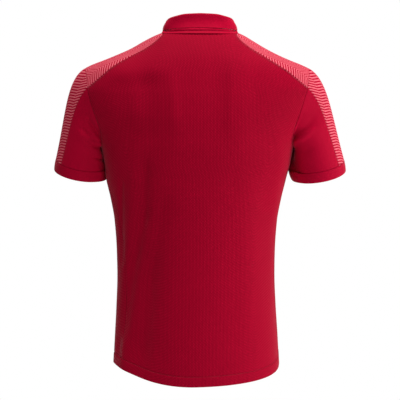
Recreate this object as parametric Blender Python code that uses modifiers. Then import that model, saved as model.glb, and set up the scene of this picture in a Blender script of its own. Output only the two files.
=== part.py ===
"""Short-sleeved polo shirt, filled out as if it were worn.

The wearer faces -Y, so the back of the shirt faces +Y and the wearer's left side is at +X. The origin is the
middle of the neck at the height of the high shoulder points, where the wearer's neck and shoulders hold it.

Tables and named sizes are in millimetres and degrees; make_sheet and make_button turn them to metres. Each
panel is a grid of points on one outer form (the torso, a sleeve or the collar) with a wall that goes
inwards, so the panels meet edge to edge with a narrow seam gap.
"""

import math
from collections import namedtuple

import bpy
import numpy as np
from mathutils import Vector

MM = 0.001
MERGE_DISTANCE = 0.00001
COLLECTION = "polo_shirt"

# Cloth
WALL = 1.6  # pique knit with its seam allowances pressed flat
SEAM_WALL = 1.0  # pressed thin along the seams
HEM_WALL = 2.6  # hem and cuff edges are turned up double
COLLAR_WALL = 2.0
SEAM_GAP = 0.5
HEM_DEPTH = 20.0
HEM_ROWS = 2  # the last rows of points carry the hem's or cuff's wall

# Heights
SIDE_HEM_Z = -674.0
HEM_TILT = 0.024  # the hem hangs a little lower at the wearer's left
BACK_HEM_DROP = 45.0
FRONT_HEM_DROP = 20.0
HEM_CURVE_LEFT = 1.9  # how late the hem drops away from the side seam
HEM_CURVE_RIGHT = 0.53
UNDERARM_Z = -234.0
TIP_Z = -120.0  # where yoke, sleeve strip, sleeve and panel meet
UNDERARM_ANGLE = 6.0
BACK_TIP_ANGLE = 32.0
FRONT_TIP_ANGLE = 34.0

# Neck
NECK_HALF = 72.5
NECK_SQUARE = 2.2
BACK_NECK_DROP = 4.0
FRONT_NECK_DROP = 78.0
BACK_YOKE_START = 15.5  # degrees round the neckline from the high shoulder point
FRONT_YOKE_START = 5.5
YOKE_SEAM_END = 223.0
SHOULDER_HALF = 229.0

# Front opening
SLOT_HALF = 12.0
PLACKET_EXTRA = 0.12  # of a column, past the slot on each side
PLACKET_LAYER = 1.3
LAYER_GAP = 0.35
BUTTON_HEIGHTS = (-94.0, -148.0, -202.0)
BUTTON_RADIUS = 5.6
BUTTON_THICK = 2.4
BUTTON_STEPS = 24
BUTTON_PROFILE = (  # shares of radius and thickness, from the face's middle round the rim to the back
    (0.0, 0.6),
    (0.62, 0.6),
    (0.76, 1.0),
    (0.92, 1.0),
    (1.0, 0.72),
    (0.96, 0.2),
    (0.7, 0.0),
    (0.0, 0.0),
)

# Grid sizes
NECK_COLUMNS = 7
SEAM_COLUMNS = 7
YOKE_ROWS = 5
ARMHOLE_ROWS = 9
ROW_BUNCHING = 1.2  # above 1 the rows start close below the yoke seam
BODY_ROWS = 21
KEEP_ROWS = 6  # rows over which the columns leave the spacing of the top edge
SLOT_ROWS = ARMHOLE_ROWS
SLOT_SHARE = 0.027  # of the way from centre front to the side
LAST_COLUMN = NECK_COLUMNS + SEAM_COLUMNS
STAND_ROWS = 3
ROLL_ROWS = 4
FALL_ROWS = 5
TIP_SHARE = 0.3
SLEEVE_STEPS = (0.0, 0.04, 0.1, 0.18, 0.28, 0.4, 0.52, 0.64, 0.76, 0.88, 1.0)

Section = namedtuple("Section", "z half_width back front square centre_x")
SECTIONS = (
    Section(0, 72.5, 48, 44, 2.2, 0),
    Section(-8, 91.7, 55, 49, 2.2, 1),
    Section(-20.6, 114.5, 67, 56, 2.2, 3),
    Section(-33, 135.5, 77, 62, 2.15, 3.5),
    Section(-45, 159.5, 85, 67, 2.1, 5),
    Section(-57.7, 188.5, 92, 72, 2.1, 6.5),
    Section(-70, 219.3, 97, 77, 2.1, 7),
    Section(-82.4, 242, 101, 82, 2.1, 5.8),
    Section(-95, 253, 104.5, 87, 2.1, 4.7),
    Section(-120, 262, 110, 97, 2.1, 5),
    Section(-135, 257, 113, 102, 2.1, 6),
    Section(-161, 243, 116, 109, 2.15, 6),
    Section(-184, 227, 117.5, 114, 2.2, 6),
    Section(-205, 213, 118, 118, 2.2, 6),
    Section(-234, 199.5, 118, 121, 2.25, 6),
    Section(-271, 191, 115.5, 122.5, 2.3, 5.5),
    Section(-305, 184.5, 112, 122, 2.2, 8.2),
    Section(-342, 175.5, 110, 120, 2.12, 8.4),
    Section(-387, 167.3, 107, 117, 2.06, 8.6),
    Section(-449, 162.8, 105, 113, 2.03, 8.6),
    Section(-500, 161.8, 104.5, 111.5, 2.03, 8.4),
    Section(-562, 164, 106, 111, 2.03, 8.2),
    Section(-624, 167.5, 108, 112, 2.03, 7.8),
    Section(-725, 172.5, 110, 114, 2.05, 7.8),
)

SeamPoint = namedtuple("SeamPoint", "x z")
YOKE_SEAM = (
    SeamPoint(71, -2.4),
    SeamPoint(85, -21.3),
    SeamPoint(104, -37),
    SeamPoint(131, -53),
    SeamPoint(158, -70),
    SeamPoint(178, -83.8),
    SeamPoint(196, -98.5),
    SeamPoint(223, -120),
)

SideSeam = namedtuple("SideSeam", "z left right")
SIDE_SEAMS = (
    SideSeam(-234, 6, 6),
    SideSeam(-330, 15, 7),
    SideSeam(-440, 25, 8),
    SideSeam(-540, 27, 8),
    SideSeam(-690, 23, 7),
)

# Soft folds: a straight crest (height above 0) or trough between two places on the back or front.
FOLD_END = 0.45  # below 1, a fold fades out over a longer way past its ends than across
FOLD_SIDE_FADE = 30.0  # the folds fade out this near the side line
Fold = namedtuple("Fold", "face x0 z0 x1 z1 width height")
FOLDS = (
    Fold("back", 118, -130, 116, -185, 38, -8.0),  # hollow and ridges over the shoulder blades
    Fold("back", 130, -140, 128, -162, 20, 4.0),
    Fold("back", 56, -125, 53, -175, 14, 2.0),
    Fold("back", 146, -93, 108, -90, 19, 4.0),
    Fold("back", -80, -105, -78, -200, 22, 2.0),
    Fold("back", -30, -50, -30, -115, 22, -1.5),  # along the spine
    Fold("back", 112, -292, 114, -366, 12, -5.5),  # long soft folds down the wearer's left flank
    Fold("back", 120, -396, 134, -456, 12, -5.5),
    Fold("back", 140, -490, 159, -610, 12, -5.0),
    Fold("back", 76, -376, 92, -456, 13, -2.5),
    Fold("back", 104, -510, 119, -635, 22, -7.0),
    Fold("back", 112, -480, 118, -630, 40, -4.0),
    Fold("back", 159, -630, 155, -680, 13, 2.0),
    Fold("back", -161, -235, -156, -360, 12, 1.5),  # the wearer's right flank
    Fold("back", -128, -346, -138, -540, 17, -1.5),
    Fold("back", -92, -420, -96, -600, 20, 1.0),
    Fold("front", 78, -150, 82, -215, 48, 5.0),  # chest
    Fold("front", -78, -150, -82, -215, 48, 5.0),
    Fold("front", 0, -180, 2, -330, 26, -3.0),
    Fold("front", 128, -300, 104, -470, 13, -4.0),
    Fold("front", 106, -330, 86, -480, 12, 3.0),
    Fold("front", -132, -290, -112, -430, 13, -4.0),
    Fold("front", -108, -350, -98, -520, 13, 3.0),
    Fold("front", 96, -520, 104, -650, 18, -4.0),
    Fold("front", -60, -500, -74, -660, 20, -4.0),
)

# Sleeves: the cuff's two rings, as seen on the wearer's left; the right one is the mirror image.
CUFF_CENTRE = (249.5, -20.0, -290.8)
CUFF_RADIUS = 53.3
CUFF_OUTWARD_TILT = 10.3
CUFF_BACK_TILT = 18.0
CUFF_HEIGHT = 22.0
CUFF_BULGE = 0.8
CUFF_ROWS = ((1.0, 0.0), (0.5, 1.0), (0.12, 1.0), (0.0, 0.0))  # share of the height, share of the bulge
STRIP_ANGLE = 41.0  # half of the patterned strip, at the cuff

# The cuffs differ a little: how much lower each hangs, and its radius beside the body at its seam and edge.
Cuff = namedtuple("Cuff", "lower inner_seam inner_edge")
CUFFS = {1: Cuff(0.0, 50.0, 52.0), -1: Cuff(2.5, 58.0, 56.0)}

SleeveHandle = namedtuple("SleeveHandle", "share leave follow arrive")
SLEEVE_HANDLES = (  # share of the way down from the shoulder point to the underarm
    SleeveHandle(0.0, 0.225, 0.0, 0.5),
    SleeveHandle(0.35, 0.25, 0.4, 0.42),
    SleeveHandle(0.7, 0.28, 0.75, 0.36),
    SleeveHandle(1.0, 0.28, 1.0, 0.34),
)

# Creases that fan out from the armpit over the sleeve. Around is 0 at the top of the sleeve, 1 at the underarm
# and below 0 at the front; along is 0 at the armhole and 1 at the cuff. They fade out near both ends.
SLEEVE_FOLD_END = 0.6
SLEEVE_TOP_FADE = 0.12
SLEEVE_CUFF_FADE = 0.15
SleeveFold = namedtuple("SleeveFold", "around0 along0 around1 along1 width height")
SLEEVE_FOLDS = (
    SleeveFold(0.86, 0.05, 0.52, 0.32, 0.08, -2.2),
    SleeveFold(0.95, 0.2, 0.66, 0.6, 0.08, -2.0),
    SleeveFold(0.8, 0.2, 0.52, 0.5, 0.08, 1.5),
    SleeveFold(-0.86, 0.05, -0.52, 0.32, 0.08, -2.2),
    SleeveFold(-0.95, 0.2, -0.66, 0.6, 0.08, -2.0),
    SleeveFold(-0.8, 0.2, -0.52, 0.5, 0.08, 1.5),
)

# Collar, by share of its half length from centre back (0) to centre front (1): how high the stand rises and
# how far it leans in, then where the leaf's edge hangs and how far the leaf bulges out halfway down.
CollarRise = namedtuple("CollarRise", "share rise lean")
COLLAR_RISES = (
    CollarRise(0.0, 37.1, 6),
    CollarRise(0.12, 35.7, 5),
    CollarRise(0.2, 31.5, 3.5),
    CollarRise(0.26, 28, 4.5),
    CollarRise(0.31, 23.5, 6),
    CollarRise(0.36, 21, 7),
    CollarRise(0.42, 20.3, 8),
    CollarRise(0.6, 21.5, 7),
    CollarRise(1.0, 25, 3),
)
CollarEdge = namedtuple("CollarEdge", "share x y z bulge")
COLLAR_EDGES = (
    CollarEdge(0.0, 0, 55.2, 3.7, -1.2),
    CollarEdge(0.1, 25.7, 53.5, 3.5, -1.2),
    CollarEdge(0.2, 52.9, 45.2, 2.5, 0),
    CollarEdge(0.25, 64.7, 37.6, 1.3, 1.2),
    CollarEdge(0.3, 73.6, 27.2, 0.9, 2),
    CollarEdge(0.36, 76.9, 9, 1.1, 2),
    CollarEdge(0.42, 77.0, -9.4, 0.5, 2),
    CollarEdge(0.49, 78.0, -25, -3.2, 2),
    CollarEdge(0.58, 80.5, -47, -16, 1.5),
    CollarEdge(0.72, 79, -72, -46, 1.5),
    CollarEdge(0.86, 66, -89, -86, 1.5),
    CollarEdge(1.0, 46, -102, -120, 1.5),
)
COLLAR_ROLL = 3.5
COLLAR_END_GAP = 0.8
UPRIGHT_END = 0.2  # share of half the collar over which the stand turns upright towards the front

CLOTH_ROUGHNESS = 0.85
BUTTON_ROUGHNESS = 0.4
COLOURS = {
    "body": (0.42, 0.004, 0.03, 1.0),
    "pattern": (0.62, 0.06, 0.10, 1.0),
    "plain": (0.40, 0.004, 0.028, 1.0),
    "collar": (0.42, 0.004, 0.03, 1.0),
    "button": (0.45, 0.01, 0.04, 1.0),
}


class Curve:
    """Smooth curve through (x, y) points that never overshoots between them."""

    def __init__(self, points):
        self.x, self.y = np.array(sorted(points), float).T
        rise = np.diff(self.y) / np.diff(self.x)
        both = rise[:-1] * rise[1:]
        total = np.where(both > 0, rise[:-1] + rise[1:], 1.0)
        inner = np.where(both > 0, 2 * both / total, 0.0)
        self.slope = np.concatenate([rise[:1], inner, rise[-1:]])

    def __call__(self, at):
        at = min(max(at, self.x[0]), self.x[-1])
        i = min(int(np.searchsorted(self.x, at, side="right")) - 1, len(self.x) - 2)
        width = self.x[i + 1] - self.x[i]
        t = (at - self.x[i]) / width
        start = (1 + 2 * t) * (1 - t) ** 2 * self.y[i] + t * (1 - t) ** 2 * width * self.slope[i]
        end = t * t * (3 - 2 * t) * self.y[i + 1] - t * t * (1 - t) * width * self.slope[i + 1]
        return start + end


def columns(table, key):
    """One Curve for each of a table's other columns, read by its key column."""
    names = [name for name in table[0]._fields if name != key]
    return {name: Curve([(getattr(row, key), getattr(row, name)) for row in table]) for name in names}


FORM = columns(SECTIONS, "z")
SEAM_Z = Curve([(point.x, point.z) for point in YOKE_SEAM])
SIDE = columns(SIDE_SEAMS, "z")
HANDLE = columns(SLEEVE_HANDLES, "share")
RISE = columns(COLLAR_RISES, "share")
EDGE = columns(COLLAR_EDGES, "share")


def ease(t):
    """0 to 1 with level ends."""
    t = min(max(t, 0.0), 1.0)
    return t * t * (3 - 2 * t)


def unit(v):
    return v / max(float(np.linalg.norm(v)), 1e-9)


def power(value, exponent):
    """A power that keeps the sign."""
    return math.copysign(abs(value) ** exponent, value)


def fold_height(x, y, z):
    """How far the soft folds move the cloth out at a place on the torso."""
    face = "back" if y > 0 else "front"
    total = 0.0
    for fold in FOLDS:
        if fold.face != face:
            continue
        start = np.array([fold.x0, fold.z0])
        along = np.array([fold.x1, fold.z1]) - start
        length = np.linalg.norm(along)
        offset = np.array([x, z]) - start
        t = float(offset @ along) / length**2
        across = abs(float(offset[0] * along[1] - offset[1] * along[0])) / length
        past = max(-t, t - 1, 0.0) * length
        distance = across**2 + (past * FOLD_END) ** 2
        total += fold.height * math.exp(-distance / fold.width**2)
    return total * ease(abs(y) / FOLD_SIDE_FADE)


def torso(angle, z):
    """Point on the outside of the torso at an angle from +X (90 is the centre of the back) and a height."""
    theta = math.radians(angle)
    half, square, centre = FORM["half_width"](z), FORM["square"](z), FORM["centre_x"](z)
    depth = FORM["back"](z) if math.sin(theta) >= 0 else FORM["front"](z)
    x = half * power(math.cos(theta), 2 / square)
    y = depth * power(math.sin(theta), 2 / square)
    out = unit(np.array([x / half**2, y / depth**2, 0.0]))
    return np.array([centre + x, y, z]) + out * fold_height(centre + x, y, z)


def angle_at(x, z, face):
    """The angle at which the section at a height reaches x from its centre line, on the back or front."""
    share = min(max(x / FORM["half_width"](z), -1.0), 1.0)
    theta = math.degrees(math.acos(power(share, FORM["square"](z) / 2)))
    return theta if face == "back" else -theta


def hem_z(angle):
    """Height of the hem at an angle round the torso: lower at centre back than at the sides and front."""
    theta = math.radians(angle)
    drop = BACK_HEM_DROP if math.sin(theta) > 0 else FRONT_HEM_DROP
    bend = HEM_CURVE_LEFT if math.cos(theta) > 0 else HEM_CURVE_RIGHT
    x = FORM["half_width"](SIDE_HEM_Z) * math.cos(theta)
    return SIDE_HEM_Z - HEM_TILT * x - drop * abs(math.sin(theta)) ** bend


def neck_point(turn, face):
    """x and z on the neckline, a turn in degrees away from the high shoulder point."""
    theta = math.radians(turn)
    x = NECK_HALF * math.cos(theta) ** (2 / NECK_SQUARE)
    if face == "back":
        return x, -BACK_NECK_DROP * math.sin(theta) ** 0.5
    return x, -FRONT_NECK_DROP * math.sin(theta) ** (2 / NECK_SQUARE)


def ridge_z(x):
    """Height of the shoulder's top at a distance from its centre line."""
    low, high = TIP_Z, 0.0
    for _ in range(30):
        z = (low + high) / 2
        low, high = (z, high) if FORM["half_width"](z) > x else (low, z)
    return low


def neck_turn(x):
    """The turn in degrees at which the neckline is x from its centre line."""
    return math.degrees(math.acos((x / NECK_HALF) ** (NECK_SQUARE / 2)))


def seam_station(j, face):
    """x and z on a panel's top edge at column j: the neckline first, then the yoke seam."""
    start = BACK_YOKE_START if face == "back" else FRONT_YOKE_START
    if abs(j) > NECK_COLUMNS:
        x0, z0 = neck_point(start, face)
        share = (abs(j) - NECK_COLUMNS) / SEAM_COLUMNS
        x = x0 + (YOKE_SEAM_END - x0) * share
        return math.copysign(x, j), SEAM_Z(x) + (z0 - SEAM_Z(x0)) * (1 - share)
    turn = 90 - (90 - start) * abs(j) / NECK_COLUMNS
    if face == "front" and j != 0:
        first = neck_turn(SLOT_HALF)
        turn = first + (start - first) * (abs(j) - 1) / (NECK_COLUMNS - 1)
    x, z = neck_point(turn, face)
    return math.copysign(x, j), z


def row_place(i, side, face, top_z, bottom_z):
    """Height of row i between a column's ends, and degrees from the face's middle to the edge at that row."""
    rows_left = ARMHOLE_ROWS + BODY_ROWS - i
    top_of_hem = bottom_z + HEM_DEPTH
    if i <= ARMHOLE_ROWS:
        turn = math.radians(90 * (i / ARMHOLE_ROWS) ** ROW_BUNCHING)
        z = top_z + (UNDERARM_Z - top_z) * math.sin(turn)
        tip = BACK_TIP_ANGLE if face == "back" else -FRONT_TIP_ANGLE
        angle = UNDERARM_ANGLE + (tip - UNDERARM_ANGLE) * math.cos(turn)
    elif rows_left > 1:
        z = top_of_hem + (UNDERARM_Z - top_of_hem) * (rows_left - 1) / (BODY_ROWS - 1)
        angle = SIDE[side](z)
    else:
        z = bottom_z + HEM_DEPTH * rows_left
        angle = SIDE[side](z)
    return z, 90 - angle if face == "back" else 90 + angle


def column_share(j, face):
    """Share of the way from the face's middle to its side at column j."""
    if face == "back" or j == 0:
        return abs(j) / LAST_COLUMN
    return SLOT_SHARE + (1 - SLOT_SHARE) * (abs(j) - 1) / (LAST_COLUMN - 1)


def reach(angle, z):
    """Distance of a place on the torso from its centre line, along x."""
    return FORM["half_width"](z) * power(math.cos(math.radians(angle)), 2 / FORM["square"](z))


def panel_place(i, j, face):
    """Angle and height of the point at row i and column j of the back or front panel."""
    side = "left" if j > 0 else "right"
    turn = (1 if j > 0 else -1) * (-1 if face == "back" else 1) * column_share(j, face)
    middle = 90.0 if face == "back" else -90.0
    side_z = SIDE_HEM_Z if i > ARMHOLE_ROWS else TIP_Z
    spread = row_place(i, side, face, TIP_Z, side_z)[1]
    angle = middle + turn * spread
    top_x, top_z = seam_station(j, face)
    z = row_place(i, side, face, top_z, hem_z(angle))[0]
    keep = 1 - ease(i / KEEP_ROWS)
    if keep > 0:
        edge_z = row_place(i, side, face, TIP_Z, TIP_Z)[0]
        edge_x = reach(90 - spread, edge_z)
        tip_x = reach(90 - row_place(0, side, face, TIP_Z, TIP_Z)[1], TIP_Z)
        angle = angle_at((1 - keep) * reach(angle, z) + keep * top_x * edge_x / tip_x, z, face)
    return angle, z


def panel_grid(face):
    """Points of the back or front panel, by row from the top edge down and by column from -X to +X."""
    return np.array(
        [
            [torso(*panel_place(i, j, face)) for j in range(-LAST_COLUMN, LAST_COLUMN + 1)]
            for i in range(ARMHOLE_ROWS + BODY_ROWS + 1)
        ]
    )


def yoke_place(q, s, sign):
    """Angle and height on a yoke: q from the front seam to the back seam, s from the neck to the armhole."""
    face = "back" if q > 0 else "front"
    along, across = s / SEAM_COLUMNS, abs(q) / YOKE_ROWS
    # near the neck the rows fall evenly from the ridge; outwards they leave it level
    ridge_x = NECK_HALF + (SHOULDER_HALF - NECK_HALF) * along
    seam_x, seam_z = seam_station(NECK_COLUMNS + s, face)
    z = ridge_z(ridge_x) + (seam_z - ridge_z(ridge_x)) * across ** (1 + ease(4 * along))
    if q == 0:
        return (0.0 if sign > 0 else 180.0), z
    return angle_at(sign * (ridge_x + (seam_x - ridge_x) * across**2), z, face), z


def yoke_grid(sign):
    """Points of a yoke, by row from the front seam to the back seam and by column from the neck outwards."""
    rows = range(-YOKE_ROWS, YOKE_ROWS + 1)
    return np.array([[torso(*yoke_place(q, s, sign)) for s in range(SEAM_COLUMNS + 1)] for q in rows])


def armhole(sign):
    """Places round the armhole: the yoke's end from front to back, the back's edge down, the front's edge up.

    Each is (angle, height, turn round the cuff, signed share of the way from shoulder point to underarm)."""
    places = []
    for q in range(-YOKE_ROWS, YOKE_ROWS + 1):
        share = q / YOKE_ROWS
        places.append((*yoke_place(q, SEAM_COLUMNS, sign), STRIP_ANGLE * share, TIP_SHARE * share))
    for face, rows in (("back", range(1, ARMHOLE_ROWS + 1)), ("front", range(ARMHOLE_ROWS - 1, 0, -1))):
        way = 1 if face == "back" else -1
        for i in rows:
            share = i / ARMHOLE_ROWS
            turn = way * (STRIP_ANGLE + (180 - STRIP_ANGLE) * share)
            around = way * (TIP_SHARE + (1 - TIP_SHARE) * share)
            places.append((*panel_place(i, sign * LAST_COLUMN, face), turn, around))
    return places


def torso_normal(angle, z):
    """Outward direction of the torso's surface."""
    sideways = torso(angle + 0.5, z) - torso(angle - 0.5, z)
    return unit(np.cross(sideways, torso(angle, z + 1) - torso(angle, z - 1)))


def cuff_axes():
    """Outward, backward and downward directions of the left cuff's rings."""
    tilt, back = math.radians(CUFF_OUTWARD_TILT), math.radians(CUFF_BACK_TILT)
    outward = np.array([math.cos(tilt), 0.0, math.sin(tilt)])
    backward = np.array([0.0, math.cos(back), -math.sin(back)])
    return outward, backward, unit(np.cross(backward, outward))


def cuff_point(turn, above, sign, swell=0.0):
    """Point on a cuff: degrees from its outer side towards the back, and height above its lower edge."""
    outward, backward, down = cuff_axes()
    theta = math.radians(turn)
    cuff = CUFFS[sign]
    inner = cuff.inner_edge + (cuff.inner_seam - cuff.inner_edge) * above / CUFF_HEIGHT
    radius = inner if math.cos(theta) < 0 else CUFF_RADIUS
    ring = outward * math.cos(theta) * (radius + swell) + backward * math.sin(theta) * (CUFF_RADIUS + swell)
    point = np.array(CUFF_CENTRE) + ring - down * above
    return np.array([sign * point[0], point[1], point[2] - cuff.lower])


def sleeve_fold_height(around, along):
    """How far the armpit creases move the sleeve's cloth out."""
    total = 0.0
    for fold in SLEEVE_FOLDS:
        start = np.array([fold.around0, fold.along0])
        line = np.array([fold.around1, fold.along1]) - start
        length = np.linalg.norm(line)
        offset = np.array([around, along]) - start
        t = float(offset @ line) / length**2
        across = abs(float(offset[0] * line[1] - offset[1] * line[0])) / length
        past = max(-t, t - 1, 0.0) * length
        total += fold.height * math.exp(-(across**2 + (past * SLEEVE_FOLD_END) ** 2) / fold.width**2)
    return total * ease(along / SLEEVE_TOP_FADE) * ease((1 - along) / SLEEVE_CUFF_FADE)


def sleeve_ring(sign):
    """The whole sleeve from armhole to cuff: rows of points down the arm, columns as in armhole()."""
    places = armhole(sign)
    tops = [torso(angle, z) for angle, z, _, _ in places]
    middle = sum(tops) / len(tops)
    cuff_middle = (cuff_point(0, CUFF_HEIGHT, sign) + cuff_point(180, CUFF_HEIGHT, sign)) / 2
    arm = unit(cuff_middle - middle)
    grid = []
    for k, (angle, z, turn, around) in enumerate(places):
        tangent = tops[(k + 1) % len(tops)] - tops[k - 1]
        leave = sign * unit(np.cross(tangent, torso_normal(angle, z)))
        follow = HANDLE["follow"](abs(around))
        leave = unit((1 - follow) * leave + follow * arm)
        end = cuff_point(turn, CUFF_HEIGHT + SEAM_GAP / 2, sign)
        chord = np.linalg.norm(end - tops[k])
        arrive = unit((1 - abs(around)) * arm + abs(around) * unit(end - tops[k]))
        handles = (
            tops[k],
            tops[k] + leave * chord * HANDLE["leave"](abs(around)),
            end - arrive * chord * HANDLE["arrive"](abs(around)),
            end,
        )
        column = []
        for t in SLEEVE_STEPS:
            weights = ((1 - t) ** 3, 3 * t * (1 - t) ** 2, 3 * t * t * (1 - t), t**3)
            point = sum(w * p for w, p in zip(weights, handles))
            centre = middle + (cuff_middle - middle) * t
            spoke = point - centre
            out = unit(spoke - arm * float(spoke @ arm))
            column.append(point + out * sleeve_fold_height(around, t))
        grid.append(column)
    return np.array(grid).transpose(1, 0, 2)


def cuff_grid(sign):
    """Points of a cuff, by row from its seam down and by column as in armhole()."""
    turns = [turn for _, _, turn, _ in armhole(sign)]
    return np.array(
        [
            [cuff_point(turn, CUFF_HEIGHT * up, sign, CUFF_BULGE * out) for turn in turns]
            for up, out in CUFF_ROWS
        ]
    )


def neck_ring():
    """The neckline from the front's middle round the wearer's right, the back and the left to the front."""
    front, back = panel_grid("front")[0], panel_grid("back")[0]
    right, left = yoke_grid(-1)[:, 0], yoke_grid(1)[:, 0]
    neck = slice(LAST_COLUMN - NECK_COLUMNS, LAST_COLUMN + NECK_COLUMNS + 1)
    front_left, front_right = front[neck][NECK_COLUMNS + 1 :], front[neck][: NECK_COLUMNS][::-1]
    middle = front[LAST_COLUMN]
    ends = [middle + np.array([side * COLLAR_END_GAP, 0, 0]) for side in (-1, 1)]
    right_half = [ends[0], *front_right, *right[1:-1]]
    left_half = [*left[::-1][1:-1], *front_left[::-1], ends[1]]
    return np.array([*right_half, *back[neck], *left_half])


def collar_grid():
    """Points of the folded collar: rows up the stand, over the fold, down the fall; columns as neck_ring()."""
    ring = neck_ring()
    steps = np.linalg.norm(np.diff(ring, axis=0), axis=1)
    way = np.concatenate([[0.0], np.cumsum(steps)])
    shares = way / way[-1] * 2 - 1
    grid = []
    for k, (base, share) in enumerate(zip(ring, shares)):
        sign, away = math.copysign(1.0, share), abs(share)
        tangent = ring[min(k + 1, len(ring) - 1)] - ring[max(k - 1, 0)]
        out = unit(np.array([-tangent[1], tangent[0], 0.0]))
        square = unit(np.cross(tangent, out))
        up = unit(square * ease((1 - away) / UPRIGHT_END) + np.array([0.0, 0.0, 1.0]))
        foot = base - out * COLLAR_WALL + up * SEAM_GAP
        rise, lean = RISE["rise"](away), RISE["lean"](away)
        top = foot - out * lean + up * (rise - COLLAR_ROLL)
        edge_z, bulge = EDGE["z"](away), EDGE["bulge"](away)
        edge = np.array([sign * EDGE["x"](away) + FORM["centre_x"](edge_z), EDGE["y"](away), edge_z])
        centre = top + out * COLLAR_ROLL
        fall_top = centre + out * COLLAR_ROLL
        column = [foot + (top - foot) * t for t in np.linspace(0, 1, STAND_ROWS + 1)]
        for step in range(1, ROLL_ROWS):
            turn = math.pi * step / ROLL_ROWS
            column.append(centre + COLLAR_ROLL * (up * math.sin(turn) - out * math.cos(turn)))
        for t in np.linspace(0, 1, FALL_ROWS + 1):
            column.append(fall_top + (edge - fall_top) * t + out * bulge * math.sin(math.pi * t))
        grid.append(column)
    return np.array(grid).transpose(1, 0, 2)


def grid_normals(grid):
    """Unit normals of a grid, columns crossed with rows."""
    down, along = np.gradient(grid, axis=0), np.gradient(grid, axis=1)
    normal = np.cross(along, down)
    return normal / np.linalg.norm(normal, axis=2, keepdims=True)


def placket_grid(depth):
    """A band along the front opening, made from the front panel's points and moved out by depth."""
    front = panel_grid("front")
    outward = -grid_normals(front)
    moved = front + outward * depth
    middle = LAST_COLUMN
    rows = []
    for i in range(SLOT_ROWS + 2):
        row = moved[min(i, SLOT_ROWS)]
        if i > SLOT_ROWS:
            row = (moved[SLOT_ROWS] + moved[SLOT_ROWS + 1]) / 2
        left = row[middle - 1] + (row[middle - 2] - row[middle - 1]) * PLACKET_EXTRA
        right = row[middle + 1] + (row[middle + 2] - row[middle + 1]) * PLACKET_EXTRA
        rows.append([left, row[middle - 1], row[middle], row[middle + 1], right])
    return np.array(rows)


def trimmed(grid, gap, closed=False):
    """The grid with its outer edges drawn in along the cloth by half a seam gap."""
    grid = grid.copy()
    for edge, inner in ((0, 1), (-1, -2)):
        way = grid[inner] - grid[edge]
        grid[edge] += way / np.linalg.norm(way, axis=1, keepdims=True) * gap / 2
    if not closed:
        for edge, inner in ((0, 1), (-1, -2)):
            way = grid[:, inner] - grid[:, edge]
            grid[:, edge] += way / np.linalg.norm(way, axis=1, keepdims=True) * gap / 2
    return grid


def wall_plan(shape, seams="tblr", edge_rows=0, edge_wall=WALL):
    """Wall thickness at each point: SEAM_WALL along the named sides, and edge_wall over the last rows."""
    walls = np.full(shape[:2], WALL)
    if edge_rows:
        walls[-edge_rows:] = edge_wall
    for side, part in (("t", np.s_[0]), ("b", np.s_[-1]), ("l", np.s_[:, 0]), ("r", np.s_[:, -1])):
        if side in seams:
            walls[part] = SEAM_WALL
    return walls


def material(name, colour, roughness):
    made = bpy.data.materials.new(name)
    made.use_nodes = True
    shader = made.node_tree.nodes["Principled BSDF"]
    shader.inputs["Base Color"].default_value = colour
    shader.inputs["Roughness"].default_value = roughness
    shader.inputs["Metallic"].default_value = 0.0
    return made


def link(mesh, name, colour, roughness=CLOTH_ROUGHNESS):
    """A new object in the shirt's collection with its own material."""
    mesh.materials.append(material(name, colour, roughness))
    made = bpy.data.objects.new(name, mesh)
    bpy.data.collections[COLLECTION].objects.link(made)
    return made


def make_sheet(name, grid, walls, colour, flip=False, closed=False, hole=None):
    """One piece of cloth: its outer face from a grid of points, and Solidify for the wall behind it."""
    rows, count = grid.shape[:2]
    faces = []
    for i in range(rows - 1):
        for j in range(count if closed else count - 1):
            if hole and i < hole[0] and j in hole[1]:
                continue
            after = (j + 1) % count
            face = [i * count + j, i * count + after, (i + 1) * count + after, (i + 1) * count + j]
            faces.append(face[::-1] if flip else face)
    used = sorted({corner for face in faces for corner in face})
    place = {corner: k for k, corner in enumerate(used)}
    points = grid.reshape(-1, 3)[used] * MM
    mesh = bpy.data.meshes.new(name)
    mesh.from_pydata([tuple(p) for p in points], [], [[place[c] for c in face] for face in faces])
    mesh.shade_smooth()
    made = link(mesh, name, colour)
    thickest = float(walls.max())
    group = made.vertex_groups.new(name="wall")
    for corner in used:
        group.add([place[corner]], float(walls.flat[corner]) / thickest, "REPLACE")
    solidify = made.modifiers.new("wall", "SOLIDIFY")
    solidify.thickness = thickest * MM
    solidify.offset = -1.0
    solidify.vertex_group = group.name
    solidify.use_even_offset = False
    return made


def make_button(name, place, normal):
    """A round button with a raised rim, turned from its profile, on the outer band."""
    profile = [(BUTTON_RADIUS * r * MM, 0.0, BUTTON_THICK * z * MM) for r, z in BUTTON_PROFILE]
    mesh = bpy.data.meshes.new(name)
    mesh.from_pydata(profile, [(k, k + 1) for k in range(len(profile) - 1)], [])
    made = link(mesh, name, COLOURS["button"], BUTTON_ROUGHNESS)
    screw = made.modifiers.new("turned", "SCREW")
    screw.steps = screw.render_steps = BUTTON_STEPS
    screw.use_merge_vertices = True
    screw.merge_threshold = MERGE_DISTANCE
    made.location = Vector((place + normal * LAYER_GAP) * MM)
    made.rotation_euler = Vector(normal).to_track_quat("Z", "Y").to_euler()
    return made


def make_panels():
    for face in ("back", "front"):
        grid = panel_grid(face)
        hole = None
        if face == "front":
            hole = (SLOT_ROWS, (LAST_COLUMN - 1, LAST_COLUMN))
        walls = wall_plan(grid.shape, "tlr", HEM_ROWS, HEM_WALL)
        grid = trimmed(grid, SEAM_GAP)
        make_sheet(face, grid, walls, COLOURS["body"], flip=face == "front", hole=hole)


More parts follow.
